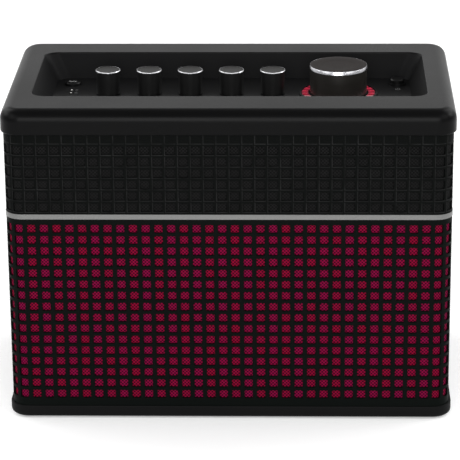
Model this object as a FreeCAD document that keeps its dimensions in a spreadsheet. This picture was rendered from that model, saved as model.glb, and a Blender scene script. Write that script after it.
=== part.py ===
import math
import os

import FreeCAD
import Part
import Sketcher

os.makedirs("parts", exist_ok=True)
doc = FreeCAD.newDocument("GuitarAmplifier")
Vector, Rotation, Placement = FreeCAD.Vector, FreeCAD.Rotation, FreeCAD.Placement

# The frame: X to the right, Y to the back, Z up. The origin is the middle of the footprint, on the floor.
# Every driving size is a cell of this sheet, in millimetres.
drivingSizes = [
    ("bodyWidth", 311, "outer width of the cabinet"),
    ("bodyDepth", 176.4, "outer depth of the cabinet"),
    ("bodyCorner", 12, "upright corner radius of the cabinet"),
    ("totalHeight", 229, "floor to the top of the lid"),
    ("lidOverhang", 1.8, "how far the lid stands out past the cabinet"),
    ("lidHeight", 17.2, "height of the lid"),
    ("lidRound", 8.5, "radius of the lid's top edge"),
    ("lidWall", 6.4, "thickness of the lid's side"),
    ("lidTop", 4.5, "thickness of the lid's top"),
    ("rimSide", 18.65, "lid's top between its side and the well"),
    ("rimFront", 37.2, "lid's top in front of the well"),
    ("rimRear", 31.7, "lid's top behind the well"),
    ("wellCorner", 10, "corner radius of the well"),
    ("wellDepth", 19.5, "lid top down to the well floor"),
    ("wellSideSlope", 9.2, "how far each side of the well leans in"),
    ("wellFrontSlope", 5, "how far the front of the well leans in"),
    ("wellRearSlope", 0.8, "how far the rear of the well leans in"),
    ("wellWall", 2, "thickness of the well's wall at the rim"),
    ("rimRound", 1, "edge round of the well's rim"),
    ("panelThickness", 2.5, "control panel"),
    ("knobBack", 39.8, "the line of controls in front of the well's rear rim"),
    ("knobPitch", 29.8, "spacing of the small knobs"),
    ("knobFirst", -89.6, "place of the first small knob"),
    ("knobRadius", 8.65, "small knob"),
    ("knobSink", 1.5, "small knob tops below the lid top"),
    ("volumePlace", 77, "place of the volume knob"),
    ("volumeRadius", 20.6, "volume knob"),
    ("volumeRise", 2.3, "volume knob top above the lid top"),
    ("trimHeight", 2.7, "bright ring on the volume knob"),
    ("trimLip", 0.4, "bright ring past the knob's side"),
    ("trimSlope", 0.6, "how far the bright ring leans in"),
    ("trimWall", 0.4, "bright ring at its top"),
    ("knobLift", 0.5, "gap under a knob"),
    ("shaftRadius", 3, "potentiometer shaft"),
    ("shaftGap", 0.05, "running clearance round a shaft"),
    ("bushRadius", 3.5, "threaded bush of a potentiometer"),
    ("bushLength", 4.8, "threaded bush above the potentiometer body"),
    ("nutRadius", 5.75, "bush nut across its corners"),
    ("nutHeight", 2, "bush nut"),
    ("potHeight", 7.4, "potentiometer body"),
    ("boardThickness", 1.6, "circuit boards"),
    ("ringRadius", 27, "light ring lens, outside"),
    ("ringHeight", 1.1, "light ring lens"),
    ("toneRadius", 6, "tone button"),
    ("toneHeight", 2.2, "tone button above the panel"),
    ("toneTravel", 1, "tone button"),
    ("powerRadius", 5.3, "power button"),
    ("powerHeight", 4.5, "power button above the panel"),
    ("powerTravel", 1.5, "power button"),
    ("toneInset", 21.15, "tone button in from the well's left rim"),
    ("powerInset", 18.35, "power button in from the well's right rim"),
    ("buttonBack", 16.3, "the line of buttons in front of the well's rear rim"),
    ("collarHeight", 1.5, "collar round the power button"),
    ("collarWall", 1, "collar round the power button"),
    ("ledRadius", 1.2, "status lamp"),
    ("ledPitch", 3.6, "status lamps, left to right"),
    ("ledRows", 7.2, "status lamps, front to back"),
    ("panelScrewEnd", 15.5, "panel screws in from the well's front and rear rims"),
    ("buttonGap", 0.3, "clearance round a button"),
    ("upperBand", 57.9, "height of the black band"),
    ("stripHeight", 3.6, "height of the silver strip"),
    ("stripProud", 0.3, "silver strip in front of the bands"),
    ("skin", 2.4, "thickness of the bands over the cabinet"),
    ("clothThickness", 0.8, "grille cloth"),
    ("wrapEnd", 18, "the bands stop this far before the cabinet's rear"),
    ("shellWall", 4, "cabinet walls and bottom"),
    ("shellRear", 6, "cabinet rear wall"),
    ("windowMargin", 8, "cabinet front wall left round its opening"),
    ("trayTop", 9.7, "floor to the top of the base tray"),
    ("trayOverhang", 1.8, "base tray past the cabinet at the sides"),
    ("trayProud", 0.8, "base tray past the cabinet at the front and rear"),
    ("trayRound", 3, "lower edge of the base tray"),
    ("trayFloor", 3, "base tray"),
    ("footProud", 1, "feet below the base tray"),
    ("footRadius", 9, "rubber foot"),
    ("footHeight", 4, "rubber foot"),
    ("footSide", 24, "foot centre in from the cabinet's side"),
    ("footFront", 22, "foot centre in from the cabinet's front or rear"),
    ("baffleThickness", 9, "board that holds the speakers"),
    ("speakerHeight", 80, "speaker centre above the floor"),
    ("speakerHole", 46, "speaker hole radius in the baffle"),
    ("speakerSeat", 8, "speaker flange past the edge of its hole"),
    ("surroundWidth", 8.3, "speaker cone's edge to the edge of the hole"),
    ("speakerDepth", 45, "flange front to magnet rear"),
    ("flangeThickness", 3, "speaker flange"),
    ("coneGap", 0.3, "cone edge to surround"),
    ("coilRadius", 12.5, "voice coil"),
    ("magnetRadius", 30, "speaker magnet"),
    ("magnetHeight", 17, "speaker magnet"),
    ("panelRecess", 2.5, "rear panel thickness and its recess"),
    ("ledge", 6, "ledge that the rear panel screws to"),
    ("rearSide", 24, "rear panel in from the cabinet's side"),
    ("rearFoot", 6.3, "rear panel above the base tray"),
    ("rearHead", 5.8, "rear panel below the lid"),
    ("panelGap", 0.2, "clearance round the rear panel"),
    ("portRadius", 17, "bass port bore"),
    ("portWall", 2, "bass port"),
    ("portLength", 60, "bass port inside the cabinet"),
    ("portHeight", 120, "bass port above the floor"),
    ("standOff", 8, "main board above the cabinet's bottom"),
    ("jackHeight", 36, "jacks above the floor"),
    ("guitarBush", 5.5, "guitar jack bush radius"),
    ("smallBush", 3.5, "small jack bush radius"),
    ("inletBush", 4.5, "power inlet bush radius"),
    ("guitarBore", 3.25, "guitar jack bore radius"),
    ("guitarSide", -96, "guitar jack"),
    ("smallBore", 1.8, "small jack bore radius"),
    ("phonesSide", -66, "phones jack"),
    ("auxSide", -44, "line-in jack"),
    ("usbSide", 40, "data socket"),
    ("inletSide", 86, "power inlet"),
    ("inletBore", 3, "power inlet bore radius"),
    ("bushGap", 0.1, "clearance round a bush in its panel"),
    ("mainBoardWidth", 232, "main board"),
    ("mainBoardDepth", 84, "main board"),
    ("screwRadius", 1.5, "screw shanks"),
    ("screwHead", 2.9, "screw heads"),
    ("headHeight", 1.6, "screw heads"),
]
# Sizes that follow from the ones above, in the same sheet.
tiedSizes = [
    ("wellWidth", "=bodyWidth + 2 * lidOverhang - 2 * rimSide", "control well at its rim, left to right"),
    ("wellLength", "=bodyDepth + 2 * lidOverhang - rimFront - rimRear", "control well at its rim"),
    ("wellSetBack", "=(rimFront - rimRear) / 2", "middle of the well behind the middle of the lid"),
    ("knobRow", "=bodyDepth / 2 + lidOverhang - rimRear - knobBack", "the line of controls"),
    ("buttonRow", "=bodyDepth / 2 + lidOverhang - rimRear - buttonBack", "the line of buttons"),
    ("tonePlace", "=wellWidth / 2 - toneInset", "tone button left of the middle"),
    ("powerPlace", "=wellWidth / 2 - powerInset", "power button right of the middle"),
    ("speakerSide", "=(bodyWidth / 2 - skin - shellWall) / 2", "each speaker, in the middle of its half"),
    ("speakerFlange", "=speakerHole + speakerSeat", "speaker flange radius"),
    ("coneRadius", "=speakerHole - surroundWidth", "speaker cone"),
]
sheet = doc.addObject("Spreadsheet::Sheet", "Dim")
for row, (alias, size, note) in enumerate(drivingSizes + tiedSizes, 1):
    sheet.set(f"A{row}", note)
    sheet.set(f"B{row}", str(size))
    sheet.setAlias(f"B{row}", alias)
doc.recompute()

upright = Rotation()
backward = Rotation(Vector(1, 0, 0), -90)
forward = Rotation(Vector(1, 0, 0), 90)
nodes = {}


# ---------------------------------------------------------------- helpers
def value(expression):
    """The number that an expression over the sheet comes to."""
    return float(sheet.evalExpression(str(expression)))


def bind(feature, **sizes):
    for name, expression in sizes.items():
        feature.setExpression(name, str(expression))
    return feature


def place(feature, x=0, y=0, z=0, turn=upright):
    feature.Placement = Placement(Vector(), turn)
    for letter, expression in zip("xyz", (x, y, z)):
        feature.setExpression(f"Placement.Base.{letter}", str(expression))
    return feature


def block(name, width, depth, height, x=0, y=0, z=0):
    """A box centred on x and y that stands on z."""
    box = bind(doc.addObject("Part::Box", name), Length=width, Width=depth, Height=height)
    return place(box, f"{x} - ({width}) / 2", f"{y} - ({depth}) / 2", z)


def rod(name, radius, length, x=0, y=0, z=0, turn=upright):
    cylinder = bind(doc.addObject("Part::Cylinder", name), Radius=radius, Height=length)
    return place(cylinder, x, y, z, turn)


def joined(kind, name, features):
    result = doc.addObject(kind, name)
    setattr(result, "Links" if kind == "Part::Compound" else "Shapes", list(features))
    return result


def fuse(name, *features):
    return joined("Part::MultiFuse", name, features)


def group(name, features):
    return joined("Part::Compound", name, features)


def cut(name, base, *tools):
    result = doc.addObject("Part::Cut", name)
    result.Base = base
    result.Tool = tools[0] if len(tools) == 1 else fuse(name + "Tools", *tools)
    return result


def common(name, first, second):
    result = doc.addObject("Part::Common", name)
    result.Base, result.Tool = first, second
    return result


def node(name, feature):
    """Makes a feature one of the amplifier's sub-parts."""
    feature.Label = name
    nodes[name] = feature
    return feature


def plane(body, role):
    return next(o for o in body.Origin.OriginFeatures if o.Role == role)


def newSketch(body, name, role="XY_Plane", x=0, y=0, z=0):
    sketch = body.newObject("Sketcher::SketchObject", name)
    sketch.AttachmentSupport = [(plane(body, role), "")]
    sketch.MapMode = "FlatFace"
    for letter, expression in zip("xyz", (x, y, z)):
        sketch.setExpression(f"AttachmentOffset.Base.{letter}", str(expression))
    return sketch


def roundedSketch(body, name, width, depth, radius, x=0, y=0, z=0):
    """A rectangle with round corners, centred on its own origin."""
    sketch = newSketch(body, name, x=x, y=y, z=z)
    w, d, r = value(width) / 2, value(depth) / 2, value(radius)
    corners = [(w - r, -d + r, 270), (w - r, d - r, 0), (-w + r, d - r, 90), (-w + r, -d + r, 180)]
    sides = [((-w + r, -d), (w - r, -d)), ((w, -d + r), (w, d - r)),
             ((w - r, d), (-w + r, d)), ((-w, d - r), (-w, -d + r))]
    for start, end in sides:
        sketch.addGeometry(Part.LineSegment(Vector(*start, 0), Vector(*end, 0)))
    for x0, y0, angle in corners:
        circle = Part.Circle(Vector(x0, y0, 0), Vector(0, 0, 1), r)
        start = math.radians(angle)
        sketch.addGeometry(Part.ArcOfCircle(circle, start, start + math.pi / 2))
    for side in range(4):
        sketch.addConstraint(Sketcher.Constraint("Tangent", side, 2, 4 + side, 1))
        sketch.addConstraint(Sketcher.Constraint("Tangent", 4 + side, 2, (side + 1) % 4, 1))
        sketch.addConstraint(Sketcher.Constraint("Vertical" if side % 2 else "Horizontal", side))
    for corner in (5, 6, 7):
        sketch.addConstraint(Sketcher.Constraint("Equal", 4, corner))
    halves = [("DistanceY", 0, -d, f"-({depth}) / 2"), ("DistanceX", 1, w, f"({width}) / 2"),
              ("DistanceY", 2, d, f"({depth}) / 2"), ("DistanceX", 3, -w, f"-({width}) / 2")]
    for kind, side, size, expression in halves:
        index = sketch.addConstraint(Sketcher.Constraint(kind, -1, 1, side, 1, size))
        sketch.setExpression(f"Constraints[{index}]", expression)
    index = sketch.addConstraint(Sketcher.Constraint("Radius", 4, r))
    sketch.setExpression(f"Constraints[{index}]", str(radius))
    return sketch


def outlineSketch(body, name, points, role="XZ_Plane"):
    """A closed outline of straight lines, each corner held by its two distances from the origin."""
    sketch = newSketch(body, name, role)
    places = [Vector(value(x), value(y), 0) for x, y in points]
    for index, start in enumerate(places):
        sketch.addGeometry(Part.LineSegment(start, places[(index + 1) % len(places)]))
    for index, (x, y) in enumerate(points):
        sketch.addConstraint(Sketcher.Constraint("Coincident", index, 2, (index + 1) % len(points), 1))
        for kind, axis, expression in (("DistanceX", -2, x), ("DistanceY", -1, y)):
            if expression == 0:
                sketch.addConstraint(Sketcher.Constraint("PointOnObject", index, 1, axis))
                continue
            held = sketch.addConstraint(Sketcher.Constraint(kind, -1, 1, index, 1, value(expression)))
            sketch.setExpression(f"Constraints[{held}]", str(expression))
    return sketch


def pad(body, sketch, height):
    feature = body.newObject("PartDesign::Pad", body.Name + "Pad")
    feature.Profile = sketch
    bind(feature, Length=height)
    body.Tip = feature
    return feature


def slab(name, width, depth, radius, height, x=0, y=0, z=0):
    """A plate with round upright corners, centred on x and y, standing on z."""
    body = doc.addObject("PartDesign::Body", name)
    pad(body, roundedSketch(body, name + "Plan", width, depth, radius), height)
    return place(body, x, y, z)


def turned(name, points, x=0, y=0, z=0, turn=upright):
    """A body turned about its own axis; the points are (radius, height)."""
    body = doc.addObject("PartDesign::Body", name)
    sketch = outlineSketch(body, name + "Section", points)
    feature = body.newObject("PartDesign::Revolution", name + "Turn")
    feature.Profile = sketch
    feature.ReferenceAxis = (sketch, ["V_Axis"])
    feature.Angle = 360
    body.Tip = feature
    return place(body, x, y, z, turn)


def roundEdges(body, name, radius, picked):
    """Rounds the edges of the body's tip that the test picks by their box in the body's own frame."""
    doc.recompute()
    base = body.Tip
    edges = [f"Edge{i}" for i, edge in enumerate(base.Shape.Edges, 1) if picked(edge.BoundBox)]
    feature = body.newObject("PartDesign::Fillet", name)
    feature.Base = (base, edges)
    bind(feature, Radius=radius)
    body.Tip = feature
    return feature


def screw(name, x, y, z, shank, turn, head="Dim.screwHead"):
    """A pan-head screw whose head stands on its bearing point, with the shank along its turn."""
    shaft = rod(name + "Shank", "Dim.screwRadius", shank, x, y, z, turn)
    away = turn.multVec(Vector(0, 0, 1))
    offsets = [f"{c} - ({a}) * Dim.headHeight" for c, a in zip((x, y, z), away)]
    top = rod(name + "Head", head, "Dim.headHeight", *offsets, turn)
    return fuse(name, shaft, top)


def level(height):
    """A z place below the top of the lid."""
    return f"(Dim.totalHeight - {height})"


# ---------------------------------------------------------------- levels and planes shared by pieces
lidBottom = level("Dim.lidHeight")
stripTop = level("(Dim.lidHeight + Dim.upperBand)")
stripBottom = level("(Dim.lidHeight + Dim.upperBand + Dim.stripHeight)")
panelTop = level("Dim.wellDepth")
panelBottom = level("(Dim.wellDepth + Dim.panelThickness)")
boardTop = f"({panelBottom} - Dim.potHeight)"
knobBottom = f"({panelTop} + Dim.knobLift)"
lowerBandHeight = f"({stripBottom} - Dim.trayTop)"
shellHeight = f"({lidBottom} - Dim.trayTop)"
shellFloor = "(Dim.trayTop + Dim.shellWall)"
frontWallInside = "(-Dim.bodyDepth / 2 + Dim.skin + Dim.shellWall)"
baffleRear = f"({frontWallInside} + Dim.baffleThickness)"
rearOutside = "(Dim.bodyDepth / 2)"
rearInside = "(Dim.bodyDepth / 2 - Dim.shellRear)"
panelSeat = "(Dim.bodyDepth / 2 - Dim.panelRecess)"
innerWidth = "(Dim.bodyWidth - 2 * Dim.skin - 2 * Dim.shellWall)"
mainBoardBottom = f"({shellFloor} + Dim.standOff)"
mainBoardTop = f"({mainBoardBottom} + Dim.boardThickness)"
knobNames = ["drive", "bass", "middle", "treble", "reverb"]
knobPlaces = [f"(Dim.knobFirst + {i} * Dim.knobPitch)" for i in range(len(knobNames))]
sideNames = [("left", "-"), ("right", "")]


# ---------------------------------------------------------------- lid
lidWidth = "(Dim.bodyWidth + 2 * Dim.lidOverhang)"
lidDepth = "(Dim.bodyDepth + 2 * Dim.lidOverhang)"
lidCorner = "(Dim.bodyCorner + Dim.lidOverhang)"
lidBlock = slab("LidBlock", lidWidth, lidDepth, lidCorner, "Dim.lidHeight", z=lidBottom)
roundEdges(lidBlock, "LidTopRound", "Dim.lidRound", lambda b: b.ZMin > value("Dim.lidHeight") - 0.01)
roundEdges(lidBlock, "LidLowerRound", 0.8, lambda b: b.ZMax < 0.01)
lidHollow = slab("LidHollow", f"{lidWidth} - 2 * Dim.lidWall", f"{lidDepth} - 2 * Dim.lidWall",
                 f"{lidCorner} - Dim.lidWall", "Dim.lidHeight - Dim.lidTop", z=lidBottom)
wellBlock = slab("WellBlock", "Dim.wellWidth + 2 * Dim.wellWall", "Dim.wellLength + 2 * Dim.wellWall",
                 "Dim.wellCorner + Dim.wellWall", "Dim.wellDepth - Dim.lidTop / 2",
                 y="Dim.wellSetBack", z=panelTop)
wellVoid = doc.addObject("PartDesign::Body", "WellVoid")
wellFloorSketch = roundedSketch(wellVoid, "WellFloorPlan", "Dim.wellWidth - 2 * Dim.wellSideSlope",
                                "Dim.wellLength - Dim.wellFrontSlope - Dim.wellRearSlope",
                                "Dim.wellCorner", y="(Dim.wellFrontSlope - Dim.wellRearSlope) / 2")
wellRimSketch = roundedSketch(wellVoid, "WellRimPlan", "Dim.wellWidth", "Dim.wellLength",
                              "Dim.wellCorner", z="Dim.wellDepth")
wellLoft = wellVoid.newObject("PartDesign::AdditiveLoft", "WellLoft")
wellLoft.Profile = wellFloorSketch
wellLoft.Sections = [wellRimSketch]
wellLoft.Ruled = True
wellVoid.Tip = wellLoft
place(wellVoid, 0, "Dim.wellSetBack", panelTop)
bossPlaces = [(f"{sx} * ({innerWidth} / 2 - 6)", y)
              for sx in (-1, 1) for y in (f"({frontWallInside} + 6)", f"({rearInside} - 6)")]
lidBosses = [rod(f"LidBoss{i}", 4.5, "Dim.lidHeight - Dim.lidTop + 0.5", x, y, lidBottom)
             for i, (x, y) in enumerate(bossPlaces)]
lidScrews = group("LidScrewGroup", [screw(f"LidScrew{i}", x, y, f"{lidBottom} - 12", 20, upright)
                                    for i, (x, y) in enumerate(bossPlaces)])
node("lid_screws", lidScrews)
panelScrewPlaces = [(f"{sx} * (Dim.wellWidth / 2 - Dim.wellSideSlope + 5)",
                     f"Dim.wellSetBack + {sy} * (Dim.wellLength / 2 - Dim.panelScrewEnd)")
                    for sx in (-1, 1) for sy in (-1, 0, 1)]
panelScrews = group("PanelScrewGroup", [screw(f"PanelScrew{i}", x, y, panelBottom, 9, upright)
                                        for i, (x, y) in enumerate(panelScrewPlaces)])
node("panel_screws", panelScrews)
lidSkin = fuse("LidSkin", cut("LidShell", lidBlock, lidHollow), wellBlock, *lidBosses)
lidCut = cut("LidCut", lidSkin, wellVoid, lidScrews, panelScrews)
lid = doc.addObject("Part::Fillet", "Lid")
lid.Base = lidCut
doc.recompute()
rimTop, rimReach = value("Dim.totalHeight"), value("Dim.wellWidth / 2") + 0.1
rimSize = value("Dim.rimRound")
lid.Edges = [(i, rimSize, rimSize) for i, edge in enumerate(lidCut.Shape.Edges, 1)
             if edge.BoundBox.ZMin > rimTop - 0.01 and abs(edge.CenterOfMass.x) < rimReach
             and abs(edge.CenterOfMass.y - value("Dim.wellSetBack")) < value("Dim.wellLength") / 2 + 0.1]
node("lid", lid)


# ---------------------------------------------------------------- control panel and what it carries
panel = slab("PanelPlate", "Dim.wellWidth - 3", "Dim.wellLength", "Dim.wellCorner",
             "Dim.panelThickness", y="Dim.wellSetBack", z=panelBottom)
ringWall = cut("RingWall", rod("RingWallOut", "Dim.ringRadius + 1.4", "Dim.ringHeight + 0.3",
                               "Dim.volumePlace", "Dim.knobRow", panelTop),
               rod("RingWallIn", "Dim.ringRadius", "Dim.ringHeight + 0.3",
                   "Dim.volumePlace", "Dim.knobRow", panelTop))
powerCollar = rod("PowerCollar", "Dim.powerRadius + Dim.buttonGap + Dim.collarWall", "Dim.collarHeight",
                  "Dim.powerPlace", "Dim.buttonRow", panelTop)
ledPlaces = [(f"-Dim.tonePlace + 0.6 + {column} * Dim.ledPitch", f"Dim.knobRow + {line} * Dim.ledRows")
             for column in (0, 1) for line in (0, 1)]
leds = group("StatusLeds", [rod(f"Led{i}", "Dim.ledRadius", "Dim.panelThickness + 0.5", x, y, panelBottom)
                            for i, (x, y) in enumerate(ledPlaces)])
node("status_leds", leds)
controls = list(zip(knobNames + ["volume"], knobPlaces + ["Dim.volumePlace"]))
panelHoles = [rod(f"PanelHole{name}", "Dim.bushRadius + Dim.bushGap", "Dim.panelThickness",
                  x, "Dim.knobRow", panelBottom) for name, x in controls]
panelHoles += [rod("ToneHole", "Dim.toneRadius + Dim.buttonGap", "Dim.panelThickness",
                   "-Dim.tonePlace", "Dim.buttonRow", panelBottom),
               rod("PowerHole", "Dim.powerRadius + Dim.buttonGap", "Dim.panelThickness + Dim.collarHeight",
                   "Dim.powerPlace", "Dim.buttonRow", panelBottom)]
panelSolid = fuse("PanelSolid", panel, ringWall, powerCollar)
node("control_panel", cut("ControlPanel", panelSolid, leds, panelScrews, *panelHoles))
node("led_ring_lens", cut("LedRingLens", rod("LensOut", "Dim.ringRadius", "Dim.ringHeight",
                                             "Dim.volumePlace", "Dim.knobRow", panelTop),
                          rod("LensIn", "Dim.volumeRadius + 1", "Dim.ringHeight",
                              "Dim.volumePlace", "Dim.knobRow", panelTop)))


def potentiometer(name, x, width, depth):
    """The fixed part of a rotary control: its case and its threaded bush, bored for the shaft."""
    case = block(name + "Case", width, depth, "Dim.potHeight", x, "Dim.knobRow", boardTop)
    bush = rod(name + "Bush", "Dim.bushRadius", "Dim.bushLength", x, "Dim.knobRow", panelBottom)
    bore = rod(name + "Bore", "Dim.shaftRadius + Dim.shaftGap", "Dim.potHeight + Dim.bushLength",
               x, "Dim.knobRow", f"{boardTop} + 0.5")
    return cut(name, fuse(name + "Solid", case, bush), bore)


def bushNut(name, x):
    nut = bind(doc.addObject("Part::Prism", name + "Hex"), Circumradius="Dim.nutRadius",
               Height="Dim.nutHeight")
    place(nut, x, "Dim.knobRow", panelTop)
    return cut(name, nut, rod(name + "Thread", "Dim.bushRadius", "Dim.nutHeight",
                              x, "Dim.knobRow", panelTop))


node("tone_pots", group("TonePots", [potentiometer(f"{name}Pot", x, 9.5, 11)
                                     for name, x in zip(knobNames, knobPlaces)]))
node("volume_encoder", potentiometer("VolumeEncoder", "Dim.volumePlace", 12, 13))
node("pot_nuts", group("PotNuts", [bushNut(f"{name}Nut", x) for name, x in controls]))

hubBottom = "(Dim.bushLength - Dim.panelThickness + 0.5)"
knobHeight = f"({level('Dim.knobSink')} - {knobBottom})"
knobHollow = f"({knobHeight} - 5.5)"
hubTop = f"({knobHeight} - 3.5)"
knobSection = [
    ("Dim.shaftRadius", hubBottom), ("Dim.shaftRadius + 1.6", hubBottom),
    ("Dim.shaftRadius + 1.6", knobHollow), ("Dim.knobRadius - 1.4", knobHollow),
    ("Dim.knobRadius - 1.4", 0), ("Dim.knobRadius", 0),
    ("Dim.knobRadius", f"{knobHeight} - 2"), ("Dim.knobRadius + 0.4", f"{knobHeight} - 1.5"),
    ("Dim.knobRadius + 0.4", f"{knobHeight} - 1.1"), ("Dim.knobRadius - 0.55", knobHeight),
    ("Dim.knobRadius - 0.95", knobHeight), ("Dim.knobRadius - 1.3", f"{knobHeight} - 0.5"),
    (0, f"{knobHeight} - 0.8"), (0, hubTop), ("Dim.shaftRadius", hubTop),
]
for name, x in zip(knobNames, knobPlaces):
    node(f"{name}_knob", turned(f"{name}Knob", knobSection, x, "Dim.knobRow", knobBottom))
    node(f"{name}_shaft", rod(f"{name}Shaft", "Dim.shaftRadius",
                              f"{knobBottom} + {hubTop} - {boardTop} - 0.8",
                              x, "Dim.knobRow", f"{boardTop} + 0.8"))

volumeTop = "(Dim.totalHeight + Dim.volumeRise)"
volumeHeight = f"({volumeTop} - {knobBottom})"
trimInside = "(Dim.volumeRadius + Dim.trimLip - Dim.trimSlope - Dim.trimWall)"
volumeHollow = f"({volumeHeight} - 6)"
volumeSection = [
    ("Dim.shaftRadius", hubBottom), ("Dim.shaftRadius + 3", hubBottom),
    ("Dim.shaftRadius + 3", volumeHollow), ("Dim.volumeRadius - 2.2", volumeHollow),
    ("Dim.volumeRadius - 2.2", 0), ("Dim.volumeRadius", 0),
    ("Dim.volumeRadius", f"{volumeHeight} - Dim.trimHeight"),
    (trimInside, f"{volumeHeight} - Dim.trimHeight"),
    (trimInside, f"{volumeHeight} - 0.3"), (0, f"{volumeHeight} - 0.3"),
    (0, f"{volumeHeight} - 4"), ("Dim.shaftRadius", f"{volumeHeight} - 4"),
]
trimSection = [
    (trimInside, 0), ("Dim.volumeRadius + Dim.trimLip", 0), ("Dim.volumeRadius + Dim.trimLip", 0.4),
    (f"{trimInside} + Dim.trimWall", "Dim.trimHeight"), (trimInside, "Dim.trimHeight"),
]
node("volume_knob", turned("VolumeKnob", volumeSection, "Dim.volumePlace", "Dim.knobRow", knobBottom))
node("volume_knob_trim", turned("VolumeTrim", trimSection, "Dim.volumePlace", "Dim.knobRow",
                                f"{volumeTop} - Dim.trimHeight"))
node("volume_shaft", rod("VolumeShaft", "Dim.shaftRadius",
                         f"{knobBottom} + {volumeHeight} - 4 - {boardTop} - 0.8",
                         "Dim.volumePlace", "Dim.knobRow", f"{boardTop} + 0.8"))


def button(name, radius, height, x):
    """A push button: a cap through the panel, a flange that holds it in and a stub for its switch."""
    flangeTop = "-(Dim.panelThickness + 0.6)"
    section = [
        (0, f"{flangeTop} - 2.2"), (2, f"{flangeTop} - 2.2"), (2, f"{flangeTop} - 1.2"),
        (f"{radius} + 1", f"{flangeTop} - 1.2"), (f"{radius} + 1", flangeTop), (radius, flangeTop),
        (radius, f"{height} - 0.7"), (f"{radius} - 0.7", height), (0, f"{height} - 0.25"),
    ]
    return turned(name, section, x, "Dim.buttonRow", panelTop)


node("tone_button", button("ToneButton", "Dim.toneRadius", "Dim.toneHeight", "-Dim.tonePlace"))
node("power_button", button("PowerButton", "Dim.powerRadius", "Dim.powerHeight", "Dim.powerPlace"))
stubBottom = f"({panelBottom} - 2.8)"
switches = [block(f"{name}Switch", 6, 6, f"{stubBottom} - {travel} - 0.3 - {boardTop}",
                  x, "Dim.buttonRow", boardTop)
            for name, x, travel in (("Tone", "-Dim.tonePlace", "Dim.toneTravel"),
                                    ("Power", "Dim.powerPlace", "Dim.powerTravel"))]
node("button_switches", group("ButtonSwitches", switches))
controlBoard = slab("ControlBoardPlate", "Dim.wellWidth - 19", 56, 2, "Dim.boardThickness",
                    y="Dim.knobRow + 9", z=f"{boardTop} - Dim.boardThickness")
node("control_board", controlBoard)


# ---------------------------------------------------------------- cabinet and its bands
def sleevePlan(name, inset, z, height):
    """The cabinet's plan, inset all round, as a solid from z up."""
    return slab(name, f"Dim.bodyWidth - 2 * ({inset})", f"Dim.bodyDepth - 2 * ({inset})",
                f"Dim.bodyCorner - ({inset})", height, z=z)


def band(name, outset, inset, z, height):
    """A band that wraps the cabinet's front and sides, between two insets, and stops before the rear."""
    ring = cut(name + "Ring", sleevePlan(name + "Out", outset, z, height),
               sleevePlan(name + "In", inset, z, height))
    behind = block(name + "Behind", "Dim.bodyWidth + 20", "Dim.wrapEnd + 10", height,
                   0, f"{rearOutside} - Dim.wrapEnd + (Dim.wrapEnd + 10) / 2", z)
    return cut(name, ring, behind)


clothInset = "(Dim.skin - Dim.clothThickness)"
node("upper_band", band("UpperBand", 0, "Dim.skin", stripTop, "Dim.upperBand"))
node("trim_strip", band("TrimStrip", "-Dim.stripProud", "Dim.skin", stripBottom, "Dim.stripHeight"))
node("lower_grille", band("LowerGrille", 0, clothInset, "Dim.trayTop", lowerBandHeight))
node("grille_cloth", band("GrilleCloth", clothInset, "Dim.skin", "Dim.trayTop", lowerBandHeight))

shellFront = sleevePlan("ShellFront", "Dim.skin", "Dim.trayTop", shellHeight)
shellBack = common("ShellBack", sleevePlan("ShellFull", 0, "Dim.trayTop", shellHeight),
                   block("ShellBackZone", "Dim.bodyWidth", "Dim.wrapEnd", shellHeight, 0,
                         f"{rearOutside} - Dim.wrapEnd / 2", "Dim.trayTop"))
cavityDepth = f"({rearInside} - {frontWallInside})"
cavity = slab("Cavity", innerWidth, cavityDepth, 4, f"{shellHeight} - Dim.shellWall",
              0, f"({rearInside} + {frontWallInside}) / 2", shellFloor)
frontWindow = block("FrontWindow", f"{innerWidth} - 2 * Dim.windowMargin", "Dim.shellWall",
                    f"{stripBottom} - {shellFloor} - 2 * Dim.windowMargin", 0,
                    f"{frontWallInside} - Dim.shellWall / 2", f"{shellFloor} + Dim.windowMargin")
rearWidth = "(Dim.bodyWidth - 2 * Dim.rearSide)"
rearBottom = "(Dim.trayTop + Dim.rearFoot)"
rearHeight = f"({lidBottom} - Dim.rearHead - {rearBottom})"
rearRecess = block("RearRecess", rearWidth, "Dim.panelRecess", rearHeight, 0,
                   f"{rearOutside} - Dim.panelRecess / 2", rearBottom)
rearWindow = block("RearWindow", f"{rearWidth} - 2 * Dim.ledge", "Dim.shellRear",
                   f"{rearHeight} - 2 * Dim.ledge", 0, f"{rearOutside} - Dim.shellRear / 2",
                   f"{rearBottom} + Dim.ledge")
cornerBlocks = [block(f"CornerBlock{i}", 12, 12, 12, x, y, f"{lidBottom} - 12")
                for i, (x, y) in enumerate(bossPlaces)]
screwRise = f"({rearBottom} + Dim.ledge / 2)"
rearScrewPlaces = [(f"{sx} * ({rearWidth} / 2 - Dim.ledge / 2)",
                    f"{screwRise} + {step} * ({rearHeight} - Dim.ledge)")
                   for sx in (-1, 1) for step in (0, 0.5, 1)]
rearScrews = group("RearScrewGroup", [screw(f"RearScrew{i}", x, rearOutside, z, 5.5, forward, 2.6)
                                      for i, (x, z) in enumerate(rearScrewPlaces)])
node("rear_screws", rearScrews)
footPlaces = [(f"{sx} * (Dim.bodyWidth / 2 - Dim.footSide)", f"{sy} * (Dim.bodyDepth / 2 - Dim.footFront)")
              for sx in (-1, 1) for sy in (-1, 1)]
footScrewSeat = "(Dim.footHeight - 1)"
footScrews = group("FootScrewGroup",
                   [screw(f"FootScrew{i}", x, y, footScrewSeat, f"Dim.trayTop + 3 - {footScrewSeat}", upright)
                    for i, (x, y) in enumerate(footPlaces)])
node("foot_screws", footScrews)
shellSolid = fuse("ShellSolid", cut("ShellWalls", fuse("ShellBlock", shellFront, shellBack), cavity,
                                    frontWindow, rearRecess, rearWindow), *cornerBlocks)
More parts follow.
